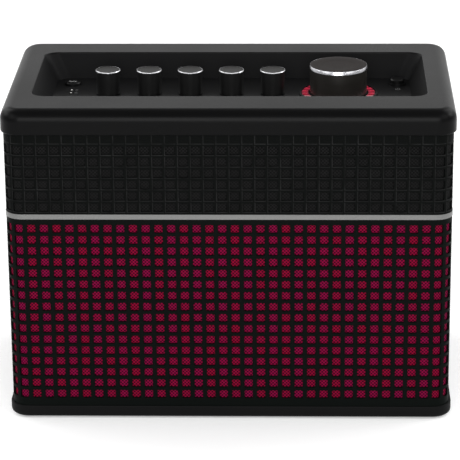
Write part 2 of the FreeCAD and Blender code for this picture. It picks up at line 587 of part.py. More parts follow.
node("cabinet_shell", cut("CabinetShell", shellSolid, lidScrews, rearScrews, footScrews))


# ---------------------------------------------------------------- base tray and feet
trayWidth = "(Dim.bodyWidth + 2 * Dim.trayOverhang)"
trayDepth = "(Dim.bodyDepth + 2 * Dim.trayProud)"
trayBlock = slab("TrayBlock", trayWidth, trayDepth, "Dim.bodyCorner + Dim.trayOverhang",
                 "Dim.trayTop - Dim.footProud", z="Dim.footProud")
roundEdges(trayBlock, "TrayLowerRound", "Dim.trayRound", lambda b: b.ZMax < 0.01)
roundEdges(trayBlock, "TrayUpperRound", 0.7,
           lambda b: b.ZMin > value("Dim.trayTop - Dim.footProud") - 0.01)
trayHollow = slab("TrayHollow", f"{trayWidth} - 14", f"{trayDepth} - 14", 8,
                  "Dim.trayTop - Dim.footProud - Dim.trayFloor", z="Dim.footProud + Dim.trayFloor")
trayPosts = [rod(f"TrayPost{i}", "Dim.footRadius + 2", "Dim.trayTop - Dim.footProud", x, y, "Dim.footProud")
             for i, (x, y) in enumerate(footPlaces)]
footRecesses = [rod(f"FootRecess{i}", "Dim.footRadius", "Dim.footHeight", x, y)
                for i, (x, y) in enumerate(footPlaces)]
traySolid = fuse("TraySolid", cut("TrayShell", trayBlock, trayHollow), *trayPosts)
node("base_tray", cut("BaseTray", traySolid, footScrews, *footRecesses))
footSection = [
    ("Dim.screwRadius", f"{footScrewSeat}"), ("Dim.screwRadius", "Dim.footHeight"),
    ("Dim.footRadius", "Dim.footHeight"), ("Dim.footRadius", 0.8), ("Dim.footRadius - 0.8", 0),
    ("Dim.screwHead", 0), ("Dim.screwHead", f"{footScrewSeat}"),
]
node("rubber_feet", group("RubberFeet", [turned(f"Foot{i}", footSection, x, y)
                                         for i, (x, y) in enumerate(footPlaces)]))


# ---------------------------------------------------------------- baffle and speakers
baffleBottom = shellFloor
baffleHeight = f"({stripBottom} - {shellFloor})"
bafflePlate = block("BafflePlate", innerWidth, "Dim.baffleThickness", baffleHeight, 0,
                    f"{frontWallInside} + Dim.baffleThickness / 2", baffleBottom)
baffleHoles = [rod(f"BaffleHole{side}", "Dim.speakerHole", "Dim.baffleThickness",
                   f"{sign}Dim.speakerSide", frontWallInside, "Dim.speakerHeight", backward)
               for side, sign in sideNames]
screwCircle = "(Dim.speakerHole + Dim.speakerSeat / 2 - 0.3)"
diagonal = math.sqrt(0.5)
speakerScrewPlaces = [(f"{sign}Dim.speakerSide + {dx} * {screwCircle} * {diagonal:.4f}",
                       f"Dim.speakerHeight + {dz} * {screwCircle} * {diagonal:.4f}")
                      for _, sign in sideNames for dx in (-1, 1) for dz in (-1, 1)]
speakerScrews = group("SpeakerScrewGroup",
                      [screw(f"SpeakerScrew{i}", x, f"{baffleRear} + Dim.flangeThickness", z,
                             "Dim.flangeThickness + 7", forward, 2.7)
                       for i, (x, z) in enumerate(speakerScrewPlaces)])
node("speaker_screws", speakerScrews)
node("front_baffle", cut("FrontBaffle", common("BaffleOutline", bafflePlate, cavity),
                         speakerScrews, *baffleHoles))

# Each speaker is turned about its own axis, which runs back from the front of its flange.
throatDepth = "(Dim.speakerDepth - Dim.magnetHeight)"
surroundOut = "(Dim.speakerHole - 0.2)"
frameInside = "(Dim.speakerHole - 2.5)"
basketSection = [
    (frameInside, 0), ("Dim.speakerFlange", 0), ("Dim.speakerFlange", "Dim.flangeThickness"),
    (f"{frameInside} + 1.5", "Dim.flangeThickness"), ("Dim.magnetRadius - 4", f"{throatDepth} - 1.5"),
    ("Dim.magnetRadius - 4", throatDepth), ("Dim.coilRadius + 2.5", throatDepth),
    ("Dim.coilRadius + 2.5", f"{throatDepth} - 1.5"), ("Dim.magnetRadius - 5.5", f"{throatDepth} - 1.5"),
]
magnetSection = [
    (0, -2), ("Dim.coilRadius - 1", -2), ("Dim.coilRadius - 1", 12), ("Dim.coilRadius + 1", 12),
    ("Dim.coilRadius + 1", 0), ("Dim.magnetRadius", 0), ("Dim.magnetRadius", "Dim.magnetHeight"),
    (0, "Dim.magnetHeight"),
]
rollInner = "(Dim.coneRadius + Dim.coneGap)"
surroundSection = [
    (surroundOut, 0), (frameInside, 0), (f"{frameInside} - 1", -1.7),
    (f"({frameInside} + {rollInner}) / 2", -2.6),
    (f"{rollInner} + 1", -1.7), (rollInner, 0), (rollInner, -0.6), (f"{rollInner} + 0.5", -2),
    (f"({frameInside} + {rollInner}) / 2", -3.2), (f"{frameInside} - 0.5", -2),
    (f"{frameInside} + 0.2", -0.6), (surroundOut, -0.6),
]
coneRear = f"({throatDepth} - 6)"
coneSection = [
    ("Dim.coneRadius", -0.6), ("Dim.coneRadius", 0.2), ("Dim.coilRadius + 1.4", f"{coneRear} + 0.4"),
    ("Dim.coilRadius + 0.3", f"{coneRear} + 0.4"), ("Dim.coilRadius + 0.3", f"{throatDepth} + 6"),
    ("Dim.coilRadius - 0.3", f"{throatDepth} + 6"), ("Dim.coilRadius - 0.3", f"{coneRear} - 1"),
    ("Dim.coilRadius + 1", f"{coneRear} - 1"), ("Dim.coneRadius - 1.6", -0.6),
]
capSection = [
    ("Dim.coilRadius + 1", f"{coneRear} - 1"), ("Dim.coilRadius - 3", f"{coneRear} - 4.5"),
    (0, f"{coneRear} - 6.2"), (0, f"{coneRear} - 5.6"), ("Dim.coilRadius - 3.3", f"{coneRear} - 3.9"),
    ("Dim.coilRadius", f"{coneRear} - 1"),
]
for side, sign in sideNames:
    centre = (f"{sign}Dim.speakerSide", baffleRear, "Dim.speakerHeight")
    frame = turned(f"{side}Frame", basketSection, *centre, backward)
    slots = []
    for turn in (0, 60, 120):
        slot = doc.addObject("Part::Box", f"{side}Slot{turn}")
        bind(slot, Length="2 * Dim.speakerFlange", Width=14,
             Height=f"{throatDepth} - Dim.flangeThickness - 6")
        tilt = backward.multiply(Rotation(Vector(0, 0, 1), turn))
        slot.Placement = Placement(Vector(), tilt)
        corner = tilt.multVec(Vector(-1, 0, 0)), tilt.multVec(Vector(0, -7, 4))
        for letter, place0, along, across in zip("xyz", centre, corner[0], corner[1]):
            slot.setExpression(f"Placement.Base.{letter}",
                               f"{place0} + ({along:.6f}) * Dim.speakerFlange + ({across:.6f})")
        slots.append(slot)
    node(f"{side}_speaker_frame", cut(f"{side}SpeakerFrame", frame, speakerScrews, *slots))
    magnetPlace = (centre[0], f"{baffleRear} + {throatDepth}", centre[2])
    node(f"{side}_speaker_magnet", turned(f"{side}Magnet", magnetSection, *magnetPlace, backward))
    node(f"{side}_speaker_surround", turned(f"{side}Surround", surroundSection, *centre, backward))
    node(f"{side}_speaker_cone", turned(f"{side}Cone", coneSection, *centre, backward))
    node(f"{side}_dust_cap", turned(f"{side}Cap", capSection, *centre, backward))


# ---------------------------------------------------------------- rear panel, port and sockets
def barrel(name, width, radius, bore, x, depth, nutTop=1.9):
    """A panel jack: a case on the main board, and a round bush through the rear panel, bored from outside."""
    case = block(name + "Case", width, depth, f"Dim.jackHeight + {width} / 2 - {mainBoardTop}",
                 x, f"{panelSeat} - {depth} / 2", mainBoardTop)
    bush = rod(name + "Bush", radius, f"Dim.panelRecess + {nutTop}", x, panelSeat, "Dim.jackHeight", backward)
    hole = rod(name + "Bore", bore, depth, x, f"{rearOutside} + {nutTop}", "Dim.jackHeight", forward)
    return cut(name, fuse(name + "Solid", case, bush), hole)


node("guitar_jack", barrel("GuitarJack", 16, "Dim.guitarBush", "Dim.guitarBore", "Dim.guitarSide", 30))
node("phones_jack", barrel("PhonesJack", 11, "Dim.smallBush", "Dim.smallBore", "Dim.phonesSide", 16))
node("aux_jack", barrel("AuxJack", 11, "Dim.smallBush", "Dim.smallBore", "Dim.auxSide", 16))
inletShell = barrel("InletShell", 12, "Dim.inletBush", "Dim.inletBore", "Dim.inletSide", 14, 0)
inletPin = rod("InletPin", 1.05, 10, "Dim.inletSide", f"{rearOutside} - 11", "Dim.jackHeight", backward)
inletSocket = rod("InletSocket", 1.05, 4, "Dim.inletSide", f"{rearOutside} - 15", "Dim.jackHeight", backward)
node("dc_inlet", fuse("DcInlet", inletShell, inletPin, inletSocket))
usbCase = block("UsbCase", 12, 16, f"Dim.jackHeight + 5.5 - {mainBoardTop}", "Dim.usbSide",
                f"{panelSeat} - 8", mainBoardTop)
usbNose = block("UsbNose", 12, "Dim.panelRecess", 11, "Dim.usbSide",
                f"{panelSeat} + Dim.panelRecess / 2", "Dim.jackHeight - 5.5")
usbMouth = block("UsbMouth", 8.4, 11, 7.8, "Dim.usbSide", f"{rearOutside} - 5.5", "Dim.jackHeight - 3.9")
usbTongue = block("UsbTongue", 5.6, 9, 2, "Dim.usbSide", f"{rearOutside} - 6.5", "Dim.jackHeight - 1")
usbShell = cut("UsbShell", fuse("UsbSolid", usbCase, usbNose), usbMouth)
node("usb_socket", fuse("UsbSocket", usbShell, usbTongue))


def jackNut(name, radius, bush, x):
    nut = bind(doc.addObject("Part::Prism", name + "Hex"), Circumradius=radius, Height=1.6)
    place(nut, x, rearOutside, "Dim.jackHeight", backward)
    return cut(name, nut, rod(name + "Thread", bush, 1.6, x, rearOutside, "Dim.jackHeight", backward))


jackNuts = [jackNut("GuitarNut", "Dim.guitarBush + 2.7", "Dim.guitarBush", "Dim.guitarSide"),
            jackNut("PhonesNut", "Dim.smallBush + 2.1", "Dim.smallBush", "Dim.phonesSide"),
            jackNut("AuxNut", "Dim.smallBush + 2.1", "Dim.smallBush", "Dim.auxSide")]
node("jack_nuts", group("JackNuts", jackNuts))
portSection = [
    ("Dim.portRadius", 1.5), ("Dim.portRadius", "-Dim.portLength"),
    ("Dim.portRadius + Dim.portWall", "-Dim.portLength"), ("Dim.portRadius + Dim.portWall", 0),
    ("Dim.portRadius + Dim.portWall + 3", 0), ("Dim.portRadius + Dim.portWall + 3", 0.8),
    ("Dim.portRadius + Dim.portWall + 2", 1.5),
]
node("bass_port", turned("BassPort", portSection, 0, rearOutside, "Dim.portHeight", backward))
rearPlate = block("RearPlate", f"{rearWidth} - 2 * Dim.panelGap", "Dim.panelRecess",
                  f"{rearHeight} - 2 * Dim.panelGap", 0, f"{rearOutside} - Dim.panelRecess / 2",
                  f"{rearBottom} + Dim.panelGap")
rearHoles = [rod(f"RearHole{name}", f"{bush} + Dim.bushGap", "Dim.panelRecess",
                 x, panelSeat, "Dim.jackHeight", backward)
             for name, bush, x in (("Guitar", "Dim.guitarBush", "Dim.guitarSide"),
                                   ("Phones", "Dim.smallBush", "Dim.phonesSide"),
                                   ("Aux", "Dim.smallBush", "Dim.auxSide"),
                                   ("Inlet", "Dim.inletBush", "Dim.inletSide"))]
rearHoles += [rod("RearHolePort", "Dim.portRadius + Dim.portWall + Dim.bushGap", "Dim.panelRecess",
                  0, panelSeat, "Dim.portHeight", backward),
              block("RearHoleUsb", 12.2, "Dim.panelRecess", 11.2, "Dim.usbSide",
                    f"{panelSeat} + Dim.panelRecess / 2", "Dim.jackHeight - 5.6")]
node("rear_panel", cut("RearPanel", rearPlate, rearScrews, *rearHoles))


# ---------------------------------------------------------------- main board
mainBoardMiddle = f"({panelSeat} - Dim.mainBoardDepth / 2 - 4)"
postPlaces = [(f"{sx} * (Dim.mainBoardWidth / 2 - 6)",
               f"{mainBoardMiddle} + {sy} * (Dim.mainBoardDepth / 2 - 6)")
              for sx in (-1, 1) for sy in (-1, 1)]
posts = []
for i, (x, y) in enumerate(postPlaces):
    foot = rod(f"PostFoot{i}", 3.5, "Dim.standOff", x, y, shellFloor)
    tip = rod(f"PostTip{i}", 1.5, "Dim.boardThickness + 2", x, y, mainBoardBottom)
    posts.append(fuse(f"Post{i}", foot, tip))
standOffs = node("board_standoffs", group("BoardStandoffs", posts))
mainPlate = block("MainPlate", "Dim.mainBoardWidth", "Dim.mainBoardDepth", "Dim.boardThickness",
                  0, mainBoardMiddle, mainBoardBottom)
node("main_board", cut("MainBoard", mainPlate, standOffs))
sinkBase = block("SinkBase", 60, 30, 3, 0, mainBoardMiddle, mainBoardTop)
sinkFins = [block(f"SinkFin{i}", 60, 1.6, 25, 0, f"{mainBoardMiddle} + {(i - 3) * 4.6:.1f}",
                  f"{mainBoardTop} + 2.5")
            for i in range(7)]
node("heat_sink", fuse("HeatSink", sinkBase, *sinkFins))


# ---------------------------------------------------------------- checks and files
doc.recompute()
for feature in doc.Objects:
    bad = [word for word in feature.State if word in ("Invalid", "Error")]
    if bad:
        raise RuntimeError(f"{feature.Label} is {bad}")
for name, feature in nodes.items():
    if feature.Shape.isNull() or not feature.Shape.isValid() or not feature.Shape.Solids:
        raise RuntimeError(f"{name} has no valid solid")
for name, feature in nodes.items():
    feature.Shape.exportStep(os.path.join("parts", name + ".step"))
print(len(nodes), "nodes written")
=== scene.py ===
import math

import bmesh
import bpy
from mathutils import Matrix, Vector


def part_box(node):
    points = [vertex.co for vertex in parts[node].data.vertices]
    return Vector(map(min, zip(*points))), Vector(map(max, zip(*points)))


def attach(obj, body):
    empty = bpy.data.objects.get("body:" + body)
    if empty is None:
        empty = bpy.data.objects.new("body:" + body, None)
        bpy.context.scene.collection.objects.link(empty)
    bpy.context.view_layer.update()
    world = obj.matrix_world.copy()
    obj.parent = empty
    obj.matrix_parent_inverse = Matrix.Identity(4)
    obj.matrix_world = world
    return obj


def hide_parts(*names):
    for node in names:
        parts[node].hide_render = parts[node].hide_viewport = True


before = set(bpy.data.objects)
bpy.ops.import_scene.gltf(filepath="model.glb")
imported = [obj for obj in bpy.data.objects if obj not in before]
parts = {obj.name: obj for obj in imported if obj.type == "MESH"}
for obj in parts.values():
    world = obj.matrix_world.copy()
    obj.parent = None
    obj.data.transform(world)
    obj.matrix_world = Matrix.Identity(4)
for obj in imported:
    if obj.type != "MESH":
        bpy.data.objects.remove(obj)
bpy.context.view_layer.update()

scene = bpy.context.scene
print("frame loaded:", len(parts), "parts")


# the camera stands in front, a little to the right, and looks down on the lid
cameraView = {"place": (0.0538, -1.7341, 0.7348), "down": 19.636, "swing": 1.48, "roll": -0.416,
              "lens": 197.4, "shift": (-0.0319, -0.0139)}


def setCamera(view):
    camera = bpy.data.objects.new("camera", bpy.data.cameras.new("camera"))
    scene.collection.objects.link(camera)
    camera.data.lens = view["lens"]
    camera.data.sensor_width = 36
    camera.data.shift_x, camera.data.shift_y = view["shift"]
    camera.data.clip_end = 50
    swing = Matrix.Rotation(math.radians(view["swing"]), 4, "Z")
    tilt = Matrix.Rotation(math.radians(90 - view["down"]), 4, "X")
    roll = Matrix.Rotation(math.radians(view["roll"]), 4, "Z")
    camera.matrix_world = Matrix.Translation(view["place"]) @ swing @ tilt @ roll
    scene.camera = camera


setCamera(cameraView)


# ---- small helpers for node trees
class Wire:  # one output of a node, with the usual arithmetic
    def __init__(self, tree, socket):
        self.tree = tree
        self.socket = socket

    def out(self, name):
        return Wire(self.tree, self.socket.node.outputs[name])

    def math(self, operation, *others):
        return self.tree.sum(operation, self, *others)

    def __add__(self, other):
        return self.math("ADD", other)

    def __sub__(self, other):
        return self.math("SUBTRACT", other)

    def __rsub__(self, other):
        return self.tree.sum("SUBTRACT", other, self)

    def __mul__(self, other):
        return self.math("MULTIPLY", other)

    def __truediv__(self, other):
        return self.math("DIVIDE", other)

    def clamped(self):
        return self.math("MAXIMUM", 0.0).math("MINIMUM", 1.0)

    def length(self, other):
        return (self * self + other * other).math("SQRT")


class Tree:  # adds nodes to a material or to a geometry tree
    def __init__(self, tree):
        self.tree = tree

    def add(self, kind, settings={}, sockets={}):
        node = self.tree.nodes.new(kind)
        for name, value in settings.items():
            if name == "stops":
                self.setStops(node.color_ramp, value)
            else:
                setattr(node, name, value)
        for name, value in sockets.items():
            if isinstance(value, Wire):
                self.tree.links.new(value.socket, node.inputs[name])
            else:
                node.inputs[name].default_value = value
        return Wire(self, node.outputs[0]) if node.outputs else node

    def setStops(self, ramp, stops):
        while len(ramp.elements) < len(stops):
            ramp.elements.new(0.5)
        for element, (place, colour) in zip(ramp.elements, stops):
            element.position = place
            element.color = (*colour, 1)

    def sum(self, operation, *values):
        return self.add("ShaderNodeMath", {"operation": operation}, dict(enumerate(values)))

    def mixColour(self, factor, first, second):
        def full(colour):
            return colour if isinstance(colour, Wire) else (*colour, 1)
        return self.add("ShaderNodeMix", {"data_type": "RGBA"},
                        {0: factor, 6: full(first), 7: full(second)}).out(2)

    def noise(self, place, scale, detail=2.0):
        return self.add("ShaderNodeTexNoise", {}, {"Vector": place, "Scale": scale, "Detail": detail})

    def bump(self, height, distance, strength=1.0):
        return self.add("ShaderNodeBump", {}, {"Height": height, "Distance": distance, "Strength": strength})

    def objectPlace(self):
        return self.add("ShaderNodeTexCoord").out("Object")

    def split(self, vector):
        apart = self.add("ShaderNodeSeparateXYZ", {}, {0: vector})
        return apart, apart.out(1), apart.out(2)

    def join(self, x, y, z):
        return self.add("ShaderNodeCombineXYZ", {}, {0: x, 1: y, 2: z})


def material(name, describe):
    made = bpy.data.materials.new(name)
    made.use_nodes = True
    made.node_tree.nodes.clear()
    tree = Tree(made.node_tree)
    shader = tree.add("ShaderNodeBsdfPrincipled", {}, describe(tree))
    tree.add("ShaderNodeOutputMaterial", {}, {"Surface": shader})
    return made


def dress(made, *names):
    for name in names:
        parts[name].data.materials.clear()
        parts[name].data.materials.append(made)


# ---- finishes
moulding = {"driftScale": 14.0, "driftDetail": 3.0, "driftRoughness": 0.12, "grainRoughness": 0.1}


def mouldedSurface(tree, grain):
    # the fine grain of a moulding, its slow drift in tone, and what the two add to its roughness
    place = tree.objectPlace()
    fine = tree.noise(place, grain)
    drift = tree.noise(place, moulding["driftScale"], moulding["driftDetail"])
    uneven = (drift - 0.5) * moulding["driftRoughness"] + (fine - 0.5) * moulding["grainRoughness"]
    return fine, drift, uneven


def mouldedPlastic(name, dark, light, rough, grain, depth, gloss=0.5):
    def describe(tree):
        fine, drift, uneven = mouldedSurface(tree, grain)
        return {"Base Color": tree.mixColour(drift, dark, light), "Roughness": uneven + rough,
                "Normal": tree.bump(fine, depth), "Specular IOR Level": gloss}
    return material(name, describe)


# the walls of the well in the lid, painted lighter as painted light: how far they reach past the panel and
# below the lid's top, how sharply their painted lightening and drier finish start, and how much drier it is
wellWallPaintedLight = {"colour": (0.0095, 0.0095, 0.0098), "pastPanel": 0.003, "belowTop": 0.0004,
             "sideSharpness": 500.0, "topSharpness": 900.0, "drier": 0.1}


def lidMould(name, dark, light, rough, grain, depth, gloss):
    # the outside is satin black, and the walls of the well are drier and painted a little lighter, as painted
    # light on the same black plastic
    low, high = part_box("control_panel")
    centre = ((low.x + high.x) / 2, (low.y + high.y) / 2)
    reach = ((high.x - low.x) / 2 + wellWallPaintedLight["pastPanel"], (high.y - low.y) / 2 + wellWallPaintedLight["pastPanel"])
    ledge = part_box("lid")[1].z - wellWallPaintedLight["belowTop"]

    def describe(tree):
        fine, drift, uneven = mouldedSurface(tree, grain)
        across, along, up = tree.split(tree.objectPlace())
        inX = (reach[0] - (across - centre[0]).math("ABSOLUTE")) * wellWallPaintedLight["sideSharpness"]
        inY = (reach[1] - (along - centre[1]).math("ABSOLUTE")) * wellWallPaintedLight["sideSharpness"]
        under = (ledge - up) * wellWallPaintedLight["topSharpness"]
        inside = inX.math("MINIMUM", inY).math("MINIMUM", under).clamped()
        outside = tree.mixColour(drift, dark, light)
        # the well walls' lighter colour is painted light, not a different plastic
        return {"Base Color": tree.mixColour(inside, outside, wellWallPaintedLight["colour"]),
                "Roughness": uneven + inside * wellWallPaintedLight["drier"] + rough,
                "Normal": tree.bump(fine, depth), "Specular IOR Level": gloss}
    return material(name, describe)


def brushedMetal(name, colour, rough, stretch, depth):
    def describe(tree):
        place = tree.add("ShaderNodeMapping", {}, {"Vector": tree.objectPlace(), "Scale": stretch})
        streaks = tree.noise(place, 900.0, 3.0)
        drift = tree.noise(tree.objectPlace(), 30.0)
        tone = tree.mixColour(drift, [c * 0.92 for c in colour], colour)
        return {"Base Color": tone, "Metallic": 1.0, "Roughness": (streaks - 0.5) * 0.15 + rough,
                "Normal": tree.bump(streaks, depth)}
    return material(name, describe)


def circuitBoard(name):
    def describe(tree):
        place = tree.objectPlace()
        tracks = tree.add("ShaderNodeTexBrick", {"offset": 0.5},
                          {"Vector": place, "Scale": 90.0, "Color1": (0.01, 0.09, 0.035, 1),
                           "Color2": (0.012, 0.12, 0.045, 1), "Mortar": (0.05, 0.2, 0.08, 1)})
        mottle = tree.noise(place, 200.0)
        return {"Base Color": tracks, "Roughness": mottle * 0.2 + 0.25, "Normal": tree.bump(mottle, 0.00002)}
    return material(name, describe)


def boardWood(name):
    def describe(tree):
        place = tree.add("ShaderNodeMapping", {}, {"Vector": tree.objectPlace(), "Scale": (0.3, 1.0, 4.0)})
        grain = tree.noise(place, 160.0, 4.0)
        return {"Base Color": tree.mixColour(grain, (0.2, 0.13, 0.08), (0.36, 0.25, 0.16)),
                "Roughness": grain * 0.2 + 0.6, "Normal": tree.bump(grain, 0.0001)}
    return material(name, describe)


lidPlastic = lidMould("lidPlastic", (0.0015, 0.0015, 0.0016), (0.0025, 0.0025, 0.0026),
                      rough=0.3, grain=2600.0, depth=0.00003, gloss=0.07)
wellPlastic = mouldedPlastic("wellPlastic", (0.005, 0.005, 0.0052), (0.007, 0.007, 0.0073),
                             rough=0.34, grain=1900.0, depth=0.00003, gloss=0.2)
shellPlastic = mouldedPlastic("shellPlastic", (0.003, 0.003, 0.0032), (0.005, 0.005, 0.005),
                              rough=0.5, grain=1500.0, depth=0.00006, gloss=0.15)
trayPlastic = mouldedPlastic("trayPlastic", (0.003, 0.003, 0.0032), (0.005, 0.005, 0.005),
                             rough=0.5, grain=1700.0, depth=0.00004, gloss=0.06)
footRubber = mouldedPlastic("footRubber", (0.012, 0.012, 0.012), (0.02, 0.02, 0.02),
                            rough=0.85, grain=900.0, depth=0.00008, gloss=0.3)
latticePlastic = mouldedPlastic("latticePlastic", (0.0010, 0.0019, 0.0015), (0.0020, 0.0030, 0.0025),
                                rough=0.5, grain=1400.0, depth=0.00008, gloss=0.04)
buttonPlastic = mouldedPlastic("buttonPlastic", (0.003, 0.003, 0.003), (0.005, 0.005, 0.005),
                               rough=0.35, grain=1600.0, depth=0.00002, gloss=0.2)
socketPlastic = mouldedPlastic("socketPlastic", (0.01, 0.01, 0.01), (0.018, 0.018, 0.018),
                               rough=0.4, grain=1100.0, depth=0.00004)
whiteNylon = mouldedPlastic("whiteNylon", (0.6, 0.59, 0.55), (0.7, 0.69, 0.65),
                            rough=0.5, grain=800.0, depth=0.00004)
pressedPaper = mouldedPlastic("pressedPaper", (0.03, 0.028, 0.025), (0.05, 0.046, 0.04),
                              rough=0.9, grain=500.0, depth=0.0002, gloss=0.2)
blackSteel = brushedMetal("blackSteel", (0.05, 0.05, 0.055), rough=0.4, stretch=(1, 1, 1), depth=0.00003)
plainSteel = brushedMetal("plainSteel", (0.40, 0.40, 0.41), rough=0.34, stretch=(1, 1, 0.1), depth=0.00002)
castMagnet = brushedMetal("castMagnet", (0.12, 0.12, 0.13), rough=0.6, stretch=(1, 1, 1), depth=0.00008)
satinSilver = brushedMetal("satinSilver", (0.19, 0.19, 0.187), rough=0.38, stretch=(0.02, 0.02, 1),
                           depth=0.00001)
boardGreen = circuitBoard("boardGreen")
baffleWood = boardWood("baffleWood")

dress(lidPlastic, "lid")
dress(wellPlastic, "control_panel")
dress(shellPlastic, "cabinet_shell", "rear_panel", "bass_port")
dress(trayPlastic, "base_tray")
dress(footRubber, "rubber_feet", "left_speaker_surround", "right_speaker_surround")
dress(buttonPlastic, "tone_button", "power_button")
dress(socketPlastic, "guitar_jack", "phones_jack", "aux_jack", "usb_socket", "dc_inlet", "button_switches")
dress(whiteNylon, "board_standoffs")
dress(pressedPaper, "left_speaker_cone", "right_speaker_cone", "left_dust_cap", "right_dust_cap")
dress(blackSteel, "lid_screws", "panel_screws", "speaker_screws", "rear_screws", "foot_screws",
      "left_speaker_frame", "right_speaker_frame")
dress(plainSteel, "jack_nuts", "pot_nuts", "tone_pots", "volume_encoder", "heat_sink", "drive_shaft",
      "bass_shaft", "middle_shaft", "treble_shaft", "reverb_shaft", "volume_shaft")
dress(castMagnet, "left_speaker_magnet", "right_speaker_magnet")
dress(satinSilver, "trim_strip")
dress(boardGreen, "main_board", "control_board")
dress(baffleWood, "front_baffle")
print("finishes made")


# ---- the wrap: flat patterns bent round the cabinet's front and sides
wrap = {"cornerRadius": 0.012, "columnPitch": 0.008857, "rowPitch": 0.008297, "columnsEachSide": 34,
        "steps": 4, "clothSteps": 280, "weld": 0.00005}
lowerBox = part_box("lower_grille")
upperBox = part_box("upper_band")
wrap["halfWidth"] = lowerBox[1].x
wrap["front"] = lowerBox[0].y
wrap["halfLength"] = (wrap["halfWidth"] - wrap["cornerRadius"] + wrap["cornerRadius"] * math.pi / 2
                      + lowerBox[1].y - lowerBox[0].y - wrap["cornerRadius"])


def linked(name, mesh):
    piece = bpy.data.objects.new(name, mesh)
    scene.collection.objects.link(piece)
    return piece


def meshFrom(name, build):
    body = bmesh.new()
    build(body)
    mesh = bpy.data.meshes.new(name)
    body.to_mesh(mesh)
    body.free()
    return linked(name, mesh)


def smoothBy(piece, degrees):
    for face in piece.data.polygons:
        face.use_smooth = True
    piece.data.set_sharp_from_angle(angle=math.radians(degrees))


def ringPoints(halfWidth, halfHeight, depth, steps, softness=0.0):
    # points round a rectangle, counter-clockwise from its lower left corner, softness rounds the corners
    points = []
    corners = [(-1, -1), (1, -1), (1, 1), (-1, 1)]
    for index, start in enumerate(corners):
        end = corners[(index + 1) % 4]
        for step in range(steps):
            share = step / steps
            x = (start[0] + (end[0] - start[0]) * share) * halfWidth
            z = (start[1] + (end[1] - start[1]) * share) * halfHeight
            if step == 0:
                x -= math.copysign(softness, x)
                z -= math.copysign(softness, z)
            points.append((x, depth, z))
    return points


def windowCell(name, size):
    # one cell of the lattice: a square frame round a window, with a bevelled front edge
    def build(body):
        halfX = wrap["columnPitch"] / 2
        halfZ = wrap["rowPitch"] / 2
        windowX = size["windowWidth"] / 2
        windowZ = size["windowHeight"] / 2
        bevel = size["bevel"]
        rings = [ringPoints(halfX, halfZ, 0, wrap["steps"]),
                 ringPoints(windowX + bevel, windowZ + bevel, 0, wrap["steps"], bevel),
                 ringPoints(windowX, windowZ, bevel, wrap["steps"], bevel),
                 ringPoints(windowX, windowZ, size["thickness"], wrap["steps"], bevel),
                 ringPoints(halfX, halfZ, size["thickness"], wrap["steps"])]
        made = [[body.verts.new(point) for point in ring] for ring in rings]
        count = len(made[0])
        for outer, inner in zip(made, made[1:]):
            for i in range(count):
                body.faces.new((outer[i], outer[(i + 1) % count], inner[(i + 1) % count], inner[i]))
    return meshFrom(name, build)


def latticeBorder(name, size, bottom, top):
    # the plain edge round the field of windows, in the same steps as the cells so that they weld
    def build(body):
        pitch = wrap["columnPitch"] / wrap["steps"]
        row = wrap["rowPitch"] / wrap["steps"]
        fieldX = wrap["columnsEachSide"] * wrap["columnPitch"]
        low = size["firstRow"] - wrap["rowPitch"] / 2
        columns = [-wrap["halfLength"]]
        columns += [-fieldX + i * pitch for i in range(2 * wrap["columnsEachSide"] * wrap["steps"] + 1)]
        columns += [wrap["halfLength"]]
        rows = [bottom] + [low + i * row for i in range(size["rows"] * wrap["steps"] + 1)] + [top]
        grid = {}

        def corner(i, j, depth):
            key = (i, j, depth)
            if key not in grid:
                grid[key] = body.verts.new((columns[i], depth, rows[j]))
            return grid[key]

        lastColumn = len(columns) - 1
        lastRow = len(rows) - 1
        for i in range(lastColumn):
            for j in range(lastRow):
                if 0 < i < lastColumn - 1 and 0 < j < lastRow - 1:
                    continue
                for depth in (0, size["thickness"]):
                    body.faces.new([corner(i, j, depth), corner(i + 1, j, depth),
                                    corner(i + 1, j + 1, depth), corner(i, j + 1, depth)])
        for i in range(lastColumn):
            for j in (0, lastRow):
                body.faces.new([corner(i, j, 0), corner(i + 1, j, 0), corner(i + 1, j, size["thickness"]),
                                corner(i, j, size["thickness"])])
        for j in range(lastRow):
            for i in (0, lastColumn):
                body.faces.new([corner(i, j, 0), corner(i, j + 1, 0), corner(i, j + 1, size["thickness"]),
                                corner(i, j, size["thickness"])])
    return meshFrom(name, build)


def flatCloth(name, near, far, bottom, top):
    # a closed sheet in the same flat coordinates, between two depths behind the front face
    def build(body):
        columns = wrap["clothSteps"]
        places = [-wrap["halfLength"] + 2 * wrap["halfLength"] * i / columns for i in range(columns + 1)]
        section = [(near, bottom), (near, top), (far, top), (far, bottom)]
        loops = [[body.verts.new((along, depth, z)) for depth, z in section] for along in places]
        for first, second in zip(loops, loops[1:]):
            for i in range(4):
                body.faces.new((first[i], first[(i + 1) % 4], second[(i + 1) % 4], second[i]))
        body.faces.new(loops[0])
        body.faces.new(reversed(loops[-1]))
    return meshFrom(name, build)


